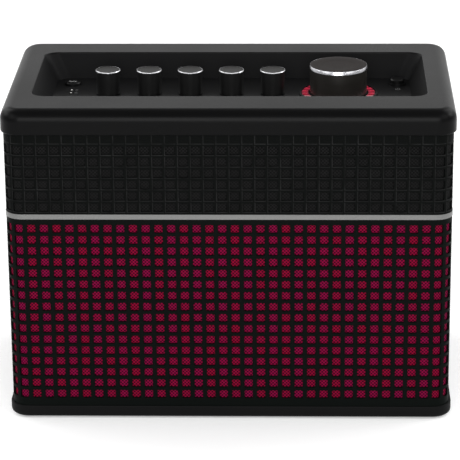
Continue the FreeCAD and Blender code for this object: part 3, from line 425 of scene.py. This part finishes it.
def wrapTree(name, cell, made):
    # instances the cell over the field, welds it to the border and bends the whole round the cabinet
    group = bpy.data.node_groups.new(name, "GeometryNodeTree")
    sizes = [(label, "NodeSocketInt") for label in ("Columns", "Rows")]
    sizes += [(label, "NodeSocketFloat") for label in ("Column Pitch", "Row Pitch", "First Row", "Half Width",
                                                       "Corner Radius", "Front")]
    group.interface.new_socket("Geometry", in_out="INPUT", socket_type="NodeSocketGeometry")
    for label, kind in sizes:
        group.interface.new_socket(label, in_out="INPUT", socket_type=kind)
    group.interface.new_socket("Geometry", in_out="OUTPUT", socket_type="NodeSocketGeometry")
    tree = Tree(group)
    given = tree.add("NodeGroupInput")
    shape = given
    if cell:
        columns, rows = given.out("Columns"), given.out("Rows")
        points = tree.add("GeometryNodeMeshGrid", {}, {
            "Size X": (columns - 1) * given.out("Column Pitch"), "Vertices X": columns,
            "Size Y": (rows - 1) * given.out("Row Pitch"), "Vertices Y": rows})
        rise = given.out("First Row") + (rows - 1) * given.out("Row Pitch") * 0.5
        stood = tree.add("GeometryNodeTransform", {}, {
            "Geometry": points, "Rotation": (math.pi / 2, 0, 0), "Translation": tree.join(0.0, 0.0, rise)})
        source = tree.add("GeometryNodeObjectInfo", {}, {"Object": cell}).out("Geometry")
        cells = tree.add("GeometryNodeInstanceOnPoints", {}, {"Points": stood, "Instance": source})
        loose = tree.add("GeometryNodeRealizeInstances", {}, {0: cells})
        both = tree.add("GeometryNodeJoinGeometry")
        for part in (given, loose):
            group.links.new(part.socket, both.socket.node.inputs[0])
        shape = tree.add("GeometryNodeMergeByDistance", {}, {"Geometry": both, "Distance": wrap["weld"]})
    place = tree.add("GeometryNodeInputPosition")
    kept = tree.add("GeometryNodeStoreNamedAttribute", {"data_type": "FLOAT_VECTOR", "domain": "POINT"},
                    {"Geometry": shape, "Name": "flat", "Value": place})
    along, depth, height = tree.split(place)
    reach = along.math("ABSOLUTE")
    radius = given.out("Corner Radius")
    flat = given.out("Half Width") - radius
    turn = ((reach - flat) / radius).math("MAXIMUM", 0.0).math("MINIMUM", math.pi / 2)
    rest = (reach - flat - radius * (math.pi / 2)).math("MAXIMUM", 0.0)
    across = reach.math("MINIMUM", flat) + (radius - depth) * turn.math("SINE")
    back = given.out("Front") + radius - (radius - depth) * turn.math("COSINE") + rest
    bent = tree.add("GeometryNodeSetPosition", {}, {
        "Geometry": kept, "Position": tree.join(across * along.math("SIGN"), back, height)})
    whole = tree.add("GeometryNodeRealizeInstances", {}, {0: bent})
    coloured = tree.add("GeometryNodeSetMaterial", {}, {"Geometry": whole, "Material": made})
    tree.add("NodeGroupOutput", {}, {"Geometry": coloured})
    return group


def baked(piece, group, values):
    # runs the tree on the piece once, and leaves a plain mesh
    modifier = piece.modifiers.new("tree", "NODES")
    modifier.node_group = group
    for item in group.interface.items_tree:
        if item.item_type == "SOCKET" and item.in_out == "INPUT" and item.name in values:
            modifier[item.identifier] = values[item.name]
    bpy.context.view_layer.update()
    seen = piece.evaluated_get(bpy.context.evaluated_depsgraph_get())
    mesh = bpy.data.meshes.new_from_object(seen, preserve_all_data_layers=True,
                                           depsgraph=bpy.context.evaluated_depsgraph_get())
    name = piece.name
    bpy.data.objects.remove(piece)
    result = linked(name, mesh)
    result.data.name = name
    return result


def facesOutward(piece, weld=0.0):
    body = bmesh.new()
    body.from_mesh(piece.data)
    if weld:
        bmesh.ops.remove_doubles(body, verts=body.verts, dist=weld)
    bmesh.ops.recalc_face_normals(body, faces=body.faces)
    body.to_mesh(piece.data)
    body.free()


def wrapValues(size):
    return {"Columns": 2 * wrap["columnsEachSide"], "Rows": size["rows"], "Column Pitch": wrap["columnPitch"],
            "Row Pitch": wrap["rowPitch"], "First Row": size["firstRow"], "Half Width": wrap["halfWidth"],
            "Corner Radius": wrap["cornerRadius"], "Front": wrap["front"]}


# the painted highlight beside a window, for the light its left and lower ledges catch: its distance out, its
# overrun at the ends, and how thin and patchy it is
paintedLedgeHighlight = {"out": 0.0003, "overrun": 0.0006, "sharpness": 2500.0, "patchScale": 90.0, "patchGain": 2.4,
              "patchLoss": 0.6}


def ledgeHighlightPlastic(name, size, dark, light, edge):
    # lattice plastic with a painted highlight: a little paler along the left and lower edges of each window,
    # where the ledges catch the light
    def describe(tree):
        flat = tree.add("ShaderNodeAttribute", {"attribute_name": "flat"}).out("Vector")
        along, _, height = tree.split(flat)
        u = along / wrap["columnPitch"]
        v = (height - size["firstRow"]) / wrap["rowPitch"] + 0.5
        sideways = (u - u.math("FLOOR") - 0.5) * wrap["columnPitch"]
        upward = (v - v.math("FLOOR") - 0.5) * wrap["rowPitch"]
        halfX, halfZ = size["windowWidth"] / 2, size["windowHeight"] / 2
        out, overrun, sharpness = paintedLedgeHighlight["out"], paintedLedgeHighlight["overrun"], paintedLedgeHighlight["sharpness"]
        left = 1.0 - ((sideways + halfX + out).math("ABSOLUTE") * sharpness)
        below = 1.0 - ((upward + halfZ + out).math("ABSOLUTE") * sharpness)
        left = left * upward.math("ABSOLUTE").math("LESS_THAN", halfZ + overrun)
        below = below * sideways.math("ABSOLUTE").math("LESS_THAN", halfX + overrun)
        patches = tree.noise(flat, paintedLedgeHighlight["patchScale"])
        patchy = patches * paintedLedgeHighlight["patchGain"] - paintedLedgeHighlight["patchLoss"]
        # painted highlight: the patchy pale line along the lit left and lower ledges
        line = left.math("MAXIMUM", below).math("MAXIMUM", 0.0) * patchy
        fine = tree.noise(tree.objectPlace(), 1400.0)
        return {"Base Color": tree.mixColour(line.clamped(), tree.mixColour(fine, dark, light), edge),
                "Roughness": fine * 0.2 + 0.45, "Normal": tree.bump(fine, 0.00008),
                "Specular IOR Level": 0.04}
    return material(name, describe)


def wrappedLattice(name, size, box, made):
    cell = windowCell(name + "Cell", size)
    border = latticeBorder(name, size, box[0].z, box[1].z)
    piece = baked(border, wrapTree(name + "Tree", cell, made), wrapValues(size))
    bpy.data.objects.remove(cell)
    facesOutward(piece)
    smoothBy(piece, degrees=28)
    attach(piece, "root")
    return piece


def wrappedCloth(name, size, box, near, far, made):
    sheet = flatCloth(name, near, far, box[0].z, box[1].z)
    piece = baked(sheet, wrapTree(name + "Tree", None, made), wrapValues(size))
    facesOutward(piece)
    smoothBy(piece, degrees=40)
    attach(piece, "root")
    return piece


# both cloths: the thread, how the two tones are shared among the windows, and the dark gaps of the weave
weaving = {"thread": 0.0024, "stripeShare": 0.45, "chanceShare": 0.55, "mottleScale": 520.0, "weaveGain": 1.6,
           "mottleGain": 0.9, "gapLift": 0.05, "relief": 0.00012}


def wovenCloth(name, first, second, dark):
    # plain weave in the flat coordinates of the wrap; each window's square leans to one of the two tones
    def describe(tree):
        flat = tree.add("ShaderNodeAttribute", {"attribute_name": "flat"}).out("Vector")
        along, _, height = tree.split(flat)
        column = (along / wrap["columnPitch"]).math("FLOOR")
        row = ((height - lowerGrille["firstRow"]) / wrap["rowPitch"] + 0.5).math("FLOOR")
        chance = tree.add("ShaderNodeTexWhiteNoise", {"noise_dimensions": "2D"},
                          {"Vector": tree.join(column, row, 0.0)})
        stripe = column.math("MODULO", 2.0).math("ABSOLUTE")
        lean = stripe * weaving["stripeShare"] + chance * weaving["chanceShare"]
        warp = (along * (2 * math.pi / weaving["thread"])).math("SINE")
        weft = (height * (2 * math.pi / weaving["thread"])).math("SINE")
        weave = warp * weft
        mottle = tree.noise(flat, weaving["mottleScale"], 3.0)
        gaps = (weave * weaving["weaveGain"] + mottle * weaving["mottleGain"] + weaving["gapLift"]).clamped()
        relief = tree.bump(weave * 0.5 + mottle * 0.5, weaving["relief"])
        return {"Base Color": tree.mixColour(gaps, dark, tree.mixColour(lean, first, second)),
                "Roughness": mottle * 0.2 + 0.65, "Normal": relief, "Specular IOR Level": 0.06}
    return material(name, describe)


lowerGrille = {"rows": 16, "firstRow": 0.01874, "windowWidth": 0.0059, "windowHeight": 0.0060,
               "bevel": 0.00018, "thickness": 0.0016, "clothRear": 0.0024}
upperGrille = {"rows": 6, "firstRow": 0.1588, "windowWidth": 0.0066, "windowHeight": 0.0062, "bevel": 0.0002,
               "thickness": 0.0012, "clothRear": 0.0022}
redCloth = wovenCloth("redCloth", (0.245, 0.0006, 0.025), (0.215, 0.0010, 0.046), (0.016, 0.0002, 0.003))
blackCloth = wovenCloth("blackCloth", (0.008, 0.008, 0.008), (0.010, 0.010, 0.010), (0.0005, 0.0005, 0.0005))

lowerLattice = wrappedLattice("lowerLattice", lowerGrille, lowerBox, latticePlastic)
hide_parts("lower_grille")
grilleCloth = wrappedCloth("grilleCloth", lowerGrille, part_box("grille_cloth"), lowerGrille["thickness"],
                           lowerGrille["clothRear"], redCloth)
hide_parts("grille_cloth")
# the last colour is the painted highlight on the window ledges
bandPlastic = ledgeHighlightPlastic("bandPlastic", upperGrille, (0.0010, 0.0014, 0.0012), (0.0020, 0.0024, 0.0022),
                           (0.022, 0.022, 0.022))
upperLattice = wrappedLattice("upperLattice", upperGrille, upperBox, bandPlastic)
upperBacking = wrappedCloth("upperBacking", upperGrille, upperBox, upperGrille["thickness"],
                            upperGrille["clothRear"], blackCloth)
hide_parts("upper_band")
print("grilles wrapped:", len(lowerLattice.data.polygons), len(upperLattice.data.polygons), "faces")


# ---- knobs, turned on a lathe outline
ringWeld = 0.00001  # where a closed outline comes back to its start


def rounded(points, steps=4):
    # the outline with each corner (radius, height, rounding) turned into a curve
    outline = []
    for index, (x, z, size) in enumerate(points):
        corner = Vector((x, z))
        if size == 0 or index in (0, len(points) - 1):
            outline.append(corner)
            continue
        before = Vector(points[index - 1][:2]) - corner
        after = Vector(points[index + 1][:2]) - corner
        reach = min(size, before.length * 0.45, after.length * 0.45)
        start = corner + before.normalized() * reach
        end = corner + after.normalized() * reach
        for step in range(steps + 1):
            share = step / steps
            outline.append(start * (1 - share) ** 2 + corner * (2 * share * (1 - share)) + end * share ** 2)
    return outline


def lathed(name, outline, centre, sides, finishes, zoneOf):
    # turns the outline about an upright axis; zoneOf gives the finish of a stretch from its middle
    def build(body):
        rings = []
        for radius, height in outline:
            if radius < 1e-7:
                rings.append([body.verts.new((0, 0, height))])
                continue
            rings.append([body.verts.new((radius * math.cos(2 * math.pi * i / sides),
                                          radius * math.sin(2 * math.pi * i / sides), height))
                          for i in range(sides)])
        for lower, upper, first, second in zip(rings, rings[1:], outline, outline[1:]):
            zone = zoneOf((first[0] + second[0]) / 2, (first[1] + second[1]) / 2)
            for i in range(sides):
                j = (i + 1) % sides
                corners = [lower[i % len(lower)], lower[j % len(lower)],
                           upper[j % len(upper)], upper[i % len(upper)]]
                face = body.faces.new(dict.fromkeys(corners))
                face.material_index = zone
        bmesh.ops.recalc_face_normals(body, faces=body.faces)
    piece = meshFrom(name, build)
    spin = piece.data.attributes.new("spin", "FLOAT_VECTOR", "POINT")
    for vertex, kept in zip(piece.data.vertices, spin.data):
        kept.vector = vertex.co
    piece.data.transform(Matrix.Translation(centre))
    for finish in finishes:
        piece.data.materials.append(finish)
    smoothBy(piece, degrees=35)
    return piece


def spunFinish(name, dark, light, rough, metal, rings, depth, gloss=0.5):
    # concentric marks of the lathe, from the piece's own radius
    def describe(tree):
        spin = tree.add("ShaderNodeAttribute", {"attribute_name": "spin"}).out("Vector")
        across, along, height = tree.split(spin)
        marks = tree.noise(tree.join(across.length(along), height, 0.0), rings, 3.0)
        drift = tree.noise(spin, 120.0)
        return {"Base Color": tree.mixColour(drift, dark, light), "Metallic": metal,
                "Roughness": (marks - 0.5) * 0.25 + rough, "Normal": tree.bump(marks, depth),
                "Specular IOR Level": gloss}
    return material(name, describe)


knobSide = spunFinish("knobSide", (0.003, 0.003, 0.003), (0.005, 0.005, 0.005),
                      rough=0.38, metal=0.0, rings=2500.0, depth=0.00001)
knobCap = spunFinish("knobCap", (0.008, 0.0078, 0.0072), (0.014, 0.0136, 0.0126),
                     rough=0.3, metal=0.0, rings=3500.0, depth=0.00002, gloss=0.045)
volumeSide = spunFinish("volumeSide", (0.011, 0.0098, 0.0083), (0.0165, 0.0148, 0.0128),
                        rough=0.36, metal=0.2, rings=2500.0, depth=0.00001)
volumeCap = spunFinish("volumeCap", (0.011, 0.0083, 0.0074), (0.017, 0.0132, 0.0120),
                       rough=0.45, metal=0.0, rings=3000.0, depth=0.00001, gloss=0.04)
brightBevel = spunFinish("brightBevel", (0.56, 0.56, 0.59), (0.66, 0.66, 0.69),
                         rough=0.24, metal=1.0, rings=2500.0, depth=0.000004)
knobBevel = spunFinish("knobBevel", (0.50, 0.50, 0.52), (0.58, 0.58, 0.60),
                       rough=0.28, metal=1.0, rings=2500.0, depth=0.000004)

# flare is where the side widens to the lip, and zone is where the bright bevel's finish starts
smallKnob = {"wall": 0.0014, "hollow": 0.0115, "chamfer": 0.0003, "chamferDrop": 0.0005, "lip": 0.0004,
             "flareFoot": 0.0008, "flareTop": 0.0005, "rimWidth": 0.0001, "rimInside": 0.0003,
             "rimDrop": 0.0002, "dish": 0.0004, "dishReach": 0.6, "dishShare": 0.85, "zoneDrop": 0.0006,
             "zoneRim": 0.00015, "sides": 96}


def makeSmallKnob(node, body):
    low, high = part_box(node)
    centre = Vector(((low.x + high.x) / 2, (low.y + high.y) / 2, low.z))
    outer = (high.x - low.x) / 2
    tall = high.z - low.z
    side = outer - smallKnob["lip"]
    inner = side - smallKnob["wall"]
    drop = tall - smallKnob["chamferDrop"]
    rim = outer - smallKnob["chamfer"]
    dishHeight = tall - smallKnob["dish"] * smallKnob["dishShare"]
    # radius, height and rounding of each corner, from the hollow's top round to the middle of the cap
    outline = [(0, smallKnob["hollow"], 0), (inner, smallKnob["hollow"], 0.0003), (inner, 0, 0.0003),
               (side, 0, 0.0004), (side, drop - smallKnob["flareFoot"], 0.0001),
               (outer, drop - smallKnob["flareTop"], 0.0001), (outer, drop, 0.00012), (rim, tall, 0.0001),
               (rim - smallKnob["rimWidth"], tall, 0.00005),
               (rim - smallKnob["rimInside"], tall - smallKnob["rimDrop"], 0.0001),
               (rim * smallKnob["dishReach"], dishHeight, 0.0015), (0, tall - smallKnob["dish"], 0)]

    def zoneOf(radius, height):
        if height <= drop - smallKnob["zoneDrop"]:
            return 0
        return 1 if radius > rim - smallKnob["zoneRim"] else 2
    knob = lathed(node.replace("_k", "K"), rounded(outline), centre, smallKnob["sides"],
                  [knobSide, knobBevel, knobCap], zoneOf)
    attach(knob, body)
    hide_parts(node)


for knobName in ("drive", "bass", "middle", "treble", "reverb"):
    makeSmallKnob(knobName + "_knob", knobName + "_control")

volumeKnob = {"wall": 0.0022, "hollow": 0.0127, "slope": 0.0006, "rim": 0.00003, "rimDrop": 0.00003,
              "neckDrop": 0.0001, "foot": 0.0004, "dish": 0.00045, "dishEdge": 0.0004, "zoneRise": 0.0008,
              "sides": 160}


def makeVolumeKnob():
    low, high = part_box("volume_knob")
    trimLow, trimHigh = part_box("volume_knob_trim")
    centre = Vector(((low.x + high.x) / 2, (low.y + high.y) / 2, low.z))
    side = (high.x - low.x) / 2
    outer = (trimHigh.x - trimLow.x) / 2
    seat = trimLow.z - low.z
    tall = trimHigh.z - low.z
    face = outer - volumeKnob["slope"]
    cap = face - volumeKnob["rim"]
    inner = side - volumeKnob["wall"]
    edge = tall - volumeKnob["rimDrop"]
    outline = [(0, volumeKnob["hollow"], 0), (inner, volumeKnob["hollow"], 0.0004), (inner, 0, 0.0004),
               (side, 0, 0.0005), (side, seat - volumeKnob["neckDrop"], 0.0001), (cap, seat, 0.0001),
               (cap, edge, 0.00001), (face * 0.5, tall - volumeKnob["dishEdge"], 0.002),
               (0, tall - volumeKnob["dish"], 0)]
    knob = lathed("volumeKnob", rounded(outline), centre, volumeKnob["sides"], [volumeSide, volumeCap],
                  lambda radius, height: 1 if height > seat + volumeKnob["zoneRise"] else 0)
    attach(knob, "volume_control")
    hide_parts("volume_knob")
    ring = rounded([(cap, seat, 0.0001), (outer, seat, 0.0001), (outer, seat + volumeKnob["foot"], 0.00015),
                    (face, tall, 0.00015), (cap, edge, 0.00001)])
    trim = lathed("volumeTrim", ring + [ring[0]], centre, volumeKnob["sides"], [brightBevel],
                  lambda radius, height: 0)
    facesOutward(trim, weld=ringWeld)
    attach(trim, "volume_control")
    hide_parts("volume_knob_trim")


makeVolumeKnob()
print("knobs turned")


# ---- light ring
lightRing = {"count": 24, "share": 0.6, "inset": 0.0005, "bedHeight": 0.0005, "steps": 5, "soft": 0.0002,
             "pastKnob": 0.0012, "bedLip": 0.0004, "bedSides": 128, "idleFrom": 0.0085, "glow": 0.06,
             "litEdge": (0.34, 0.03, 0.06), "litCore": (0.62, 0.004, 0.045),
             "idleEdge": (0.45, 0.36, 0.36), "idleCore": (0.55, 0.30, 0.32),
             "coreFall": 2.3, "bandFall": 1.9, "coreGain": 2.2, "idleSharpness": 600.0}


def segmentShape(body, inner, outer, bottom, top, halfAngle, steps):
    soft = lightRing["soft"]
    section = [(inner, bottom), (inner, top - soft), (inner + soft, top), (outer - soft, top),
               (outer, top - soft), (outer, bottom)]
    lift = Vector((0, 0, 1))
    loops = []
    for step in range(steps + 1):
        angle = -halfAngle + 2 * halfAngle * step / steps
        direction = Vector((math.cos(angle), math.sin(angle), 0))
        loops.append([body.verts.new(direction * radius + lift * height) for radius, height in section])
    for first, second in zip(loops, loops[1:]):
        for i in range(len(first)):
            j = (i + 1) % len(first)
            body.faces.new((first[i], first[j], second[j], second[i]))
    body.faces.new(loops[0])
    body.faces.new(reversed(loops[-1]))
    bmesh.ops.recalc_face_normals(body, faces=body.faces)


def ringTree(segment, made):
    # turns copies of the segment about the ring's axis
    group = bpy.data.node_groups.new("lightRingTree", "GeometryNodeTree")
    group.interface.new_socket("Geometry", in_out="INPUT", socket_type="NodeSocketGeometry")
    group.interface.new_socket("Count", in_out="INPUT", socket_type="NodeSocketInt")
    group.interface.new_socket("Geometry", in_out="OUTPUT", socket_type="NodeSocketGeometry")
    tree = Tree(group)
    given = tree.add("NodeGroupInput")
    points = tree.add("GeometryNodeMeshLine", {}, {"Count": given.out("Count"), "Offset": (0, 0, 0)})
    turn = (tree.add("GeometryNodeInputIndex") + 0.5) * (2 * math.pi) / given.out("Count")
    source = tree.add("GeometryNodeObjectInfo", {}, {"Object": segment}).out("Geometry")
    copies = tree.add("GeometryNodeInstanceOnPoints", {}, {
        "Points": points, "Instance": source, "Rotation": tree.join(0.0, 0.0, turn)})
    whole = tree.add("GeometryNodeRealizeInstances", {}, {0: copies})
    coloured = tree.add("GeometryNodeSetMaterial", {}, {"Geometry": whole, "Material": made})
    tree.add("NodeGroupOutput", {}, {"Geometry": coloured})
    return group


def makeLightRing():
    low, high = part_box("led_ring_lens")
    centre = Vector(((low.x + high.x) / 2, (low.y + high.y) / 2, 0))
    outer = (high.x - low.x) / 2 - lightRing["inset"]
    inner = (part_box("volume_knob")[1].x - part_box("volume_knob")[0].x) / 2 + lightRing["pastKnob"]
    halfAngle = math.pi / lightRing["count"] * lightRing["share"]

    def glow(tree):
        # each segment is deeper in colour at its middle, and the segments in front are idle
        place = tree.add("ShaderNodeVectorMath", {"operation": "SUBTRACT"},
                         {0: tree.objectPlace(), 1: (centre.x, centre.y, 0)})
        across, along, _ = tree.split(place)
        radius = across.length(along)
        angle = along.math("ARCTAN2", across) * (lightRing["count"] / (2 * math.pi))
        core = 1.0 - ((angle - angle.math("FLOOR") - 0.5).math("ABSOLUTE") * lightRing["coreFall"])
        fall = lightRing["bandFall"] / (outer - inner)
        band = 1.0 - ((radius - (inner + outer) / 2).math("ABSOLUTE") * fall)
        middle = (core * band * lightRing["coreGain"]).clamped()
        front = ((along + lightRing["idleFrom"]) * -lightRing["idleSharpness"]).clamped()
        lit = tree.mixColour(middle, lightRing["litEdge"], lightRing["litCore"])
        idle = tree.mixColour(middle, lightRing["idleEdge"], lightRing["idleCore"])
        colour = tree.mixColour(front, lit, idle)
        return {"Base Color": colour, "Roughness": middle * 0.1 + 0.3, "Emission Color": colour,
                "Emission Strength": lightRing["glow"],
                "Normal": tree.bump(tree.noise(place, 900.0), 0.00004)}
    ringGlow = material("ringGlow", glow)
    segment = meshFrom("ringSegment", lambda body: segmentShape(
        body, inner, outer, low.z + lightRing["bedHeight"], high.z, halfAngle, lightRing["steps"]))
    carrier = linked("ringSegments", bpy.data.meshes.new("ringSegments"))
    ring = baked(carrier, ringTree(segment, ringGlow), {"Count": lightRing["count"]})
    bpy.data.objects.remove(segment)
    ring.data.transform(Matrix.Translation(centre))
    smoothBy(ring, degrees=30)
    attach(ring, "root")
    bedInner, bedOuter = inner - lightRing["bedLip"], outer + lightRing["inset"]
    bedTop = low.z + lightRing["bedHeight"]
    bedOutline = [(bedInner, low.z), (bedOuter, low.z), (bedOuter, bedTop), (bedInner, bedTop),
                  (bedInner, low.z)]
    bed = lathed("ringBed", bedOutline, centre, lightRing["bedSides"], [buttonPlastic],
                 lambda radius, height: 0)
    facesOutward(bed, weld=ringWeld)
    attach(bed, "root")
    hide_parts("led_ring_lens")


makeLightRing()
print("light ring made")


# ---- lamps and printed marks
lamps = {"radius": 0.0012, "sharpness": 2200.0, "glow": 0.45, "lit": (1.0, 0.98, 0.95),
         "dark": (0.05, 0.05, 0.05)}


def lampFinish(name):
    # the two lamps nearer the lid's left side are lit
    def describe(tree):
        place = tree.objectPlace()
        across, along, _ = tree.split(place)
        low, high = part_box("status_leds")
        fromMiddle = across - (low.x + high.x) / 2
        offX = fromMiddle.math("ABSOLUTE") - ((high.x - low.x) / 2 - lamps["radius"])
        offY = (along - (low.y + high.y) / 2).math("ABSOLUTE") - ((high.y - low.y) / 2 - lamps["radius"])
        core = (1.6 - offX.length(offY) * lamps["sharpness"]).clamped()
        lit = fromMiddle.math("LESS_THAN", 0.0) * core
        haze = tree.noise(place, 2500.0)
        return {"Base Color": tree.mixColour(lit, lamps["dark"], lamps["lit"]),
                "Emission Color": tree.mixColour(lit, (0, 0, 0), lamps["lit"]),
                "Emission Strength": lamps["glow"], "Roughness": haze * 0.2 + 0.2}
    return material(name, describe)


def printedInk(name, colour):
    def describe(tree):
        speckle = tree.noise(tree.objectPlace(), 4000.0)
        return {"Base Color": tree.mixColour(speckle, [c * 0.8 for c in colour], colour),
                "Roughness": speckle * 0.2 + 0.5, "Normal": tree.bump(speckle, 0.00001)}
    return material(name, describe)


dress(lampFinish("lamp"), "status_leds")
inkHeight = 0.00006
greyInk = printedInk("greyInk", (0.16, 0.16, 0.16))
paleInk = printedInk("paleInk", (0.6, 0.6, 0.6))


def strokeMesh(body, points, width, height):
    # a flat raised line through the points, as a closed prism
    halves = []
    for index, point in enumerate(points):
        before = points[max(index - 1, 0)]
        after = points[min(index + 1, len(points) - 1)]
        run = (Vector(after) - Vector(before)).normalized()
        side = Vector((-run.y, run.x)) * width / 2
        halves.append((Vector(point) + side, Vector(point) - side))
    loops = []
    for left, right in halves:
        loops.append([body.verts.new(point) for point in (
            (*left, 0), (*right, 0), (*right, height), (*left, height))])
    for first, second in zip(loops, loops[1:]):
        for i in range(4):
            body.faces.new((first[i], first[(i + 1) % 4], second[(i + 1) % 4], second[i]))
    body.faces.new(loops[0])
    body.faces.new(reversed(loops[-1]))


def printedMark(name, strokes, place, width, ink, body):
    def build(mesh):
        for stroke in strokes:
            strokeMesh(mesh, stroke, width, inkHeight)
        bmesh.ops.recalc_face_normals(mesh, faces=mesh.faces)
    mark = meshFrom(name, build)
    mark.data.transform(Matrix.Translation(place))
    mark.data.materials.append(ink)
    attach(mark, body)


def arcStroke(radius, start, end, steps=20):
    return [(radius * math.cos(math.radians(start + (end - start) * i / steps)),
             radius * math.sin(math.radians(start + (end - start) * i / steps))) for i in range(steps + 1)]


# a power sign in front of its button, and a wave on top of the tone button
powerSign = {"radius": 0.0016, "arcFrom": 125, "arcTo": 415, "bar": [(0, 0.0006), (0, 0.0024)],
             "line": 0.0004, "inFront": 0.0065}
toneSign = {"points": 15, "start": -0.0028, "step": 0.0004, "swing": 0.0007, "turn": 0.9, "line": 0.0005,
            "sink": 0.0001}
powerLow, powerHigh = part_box("power_button")
powerStrokes = [arcStroke(powerSign["radius"], powerSign["arcFrom"], powerSign["arcTo"]), powerSign["bar"]]
printedMark("powerMark", powerStrokes,
            ((powerLow.x + powerHigh.x) / 2, powerLow.y - powerSign["inFront"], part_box("pot_nuts")[0].z),
            powerSign["line"], greyInk, "root")
toneLow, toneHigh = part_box("tone_button")
toneStroke = [(toneSign["start"] + toneSign["step"] * i, toneSign["swing"] * math.sin(i * toneSign["turn"]))
              for i in range(toneSign["points"])]
printedMark("toneMark", [toneStroke],
            ((toneLow.x + toneHigh.x) / 2, (toneLow.y + toneHigh.y) / 2, toneHigh.z - toneSign["sink"]),
            toneSign["line"], paleInk, "tone_key")
print("marks printed")


# ---- floor, light and air
studio = {"floorColour": (0.93, 0.93, 0.93), "floorMottle": (0.91, 0.91, 0.91), "floorLift": 0.22,
          "floorReach": 40.0, "horizonGlow": 0.95, "horizonTop": 0.1, "horizonSharpness": 20.0,
          "backGlow": 0.93, "backTop": 0.5, "backSharpness": 8.0, "sideSharpness": 3.0, "topGlow": 0.42,
          "aimHeight": 0.12}


def airTree(tree):
    # a bright low band behind the object, a pale horizon all round and dim air above
    _, back, up = tree.split(tree.add("ShaderNodeTexCoord"))
    low = ((studio["backTop"] - up) * studio["backSharpness"]).clamped()
    behind = (back * studio["sideSharpness"]).clamped()
    horizon = ((studio["horizonTop"] - up) * studio["horizonSharpness"]).clamped()
    glow = (low * behind * (studio["backGlow"] - studio["topGlow"]) + studio["topGlow"]).math(
        "MAXIMUM", horizon * studio["horizonGlow"])
    shade = tree.add("ShaderNodeBackground", {}, {"Color": (1, 1, 1, 1), "Strength": glow})
    tree.add("ShaderNodeOutputWorld", {}, {"Surface": shade})


def makeStage():
    floor = meshFrom("floor", lambda body: bmesh.ops.create_grid(
        body, x_segments=1, y_segments=1, size=studio["floorReach"]))

    def paper(tree):
        mottle = tree.noise(tree.objectPlace(), 3.0)
        return {"Base Color": tree.mixColour(mottle, studio["floorMottle"], studio["floorColour"]),
                "Emission Color": (1, 1, 1, 1), "Emission Strength": studio["floorLift"],
                "Roughness": 0.9, "Specular IOR Level": 0.1}
    floor.data.materials.append(material("floorPaper", paper))
    world = bpy.data.worlds.new("air")
    world.use_nodes = True
    world.node_tree.nodes.clear()
    airTree(Tree(world.node_tree))
    scene.world = world


def softBox(name, turn, rise, distance, size, glow):
    # a square light that looks at the object; turn is its angle from the front, rise its height in degrees
    light = bpy.data.lights.new(name, "AREA")
    light.shape = "SQUARE"
    light.size = size
    light.energy = glow * math.pi * size * size
    lamp = bpy.data.objects.new(name, light)
    scene.collection.objects.link(lamp)
    aim = Vector((0, 0, studio["aimHeight"]))
    around, above = math.radians(turn), math.radians(rise)
    place = aim + distance * Vector((math.sin(around) * math.cos(above), -math.cos(around) * math.cos(above),
                                     math.sin(above)))
    facing = (aim - place).to_track_quat("-Z", "Y").to_matrix().to_4x4()
    lamp.matrix_world = Matrix.Translation(place) @ facing


# turn, rise, distance, size and glow of each light
softBoxes = {"frontLeft": (-52, 38, 1.7, 1.0, 1.7), "frontRight": (52, 38, 1.7, 1.0, 1.7),
             "rearLeft": (-128, 38, 1.7, 1.0, 2.2), "rearRight": (128, 38, 1.7, 1.0, 2.2),
             "frontLow": (0, 22, 2.4, 1.3, 5.4), "sideLeft": (-98, 32, 1.8, 0.6, 3.5),
             "sideRight": (98, 32, 1.8, 0.6, 5.5)}
makeStage()
for boxName, boxPlace in softBoxes.items():
    softBox(boxName, *boxPlace)
scene.view_settings.view_transform = "Standard"
print("stage set")
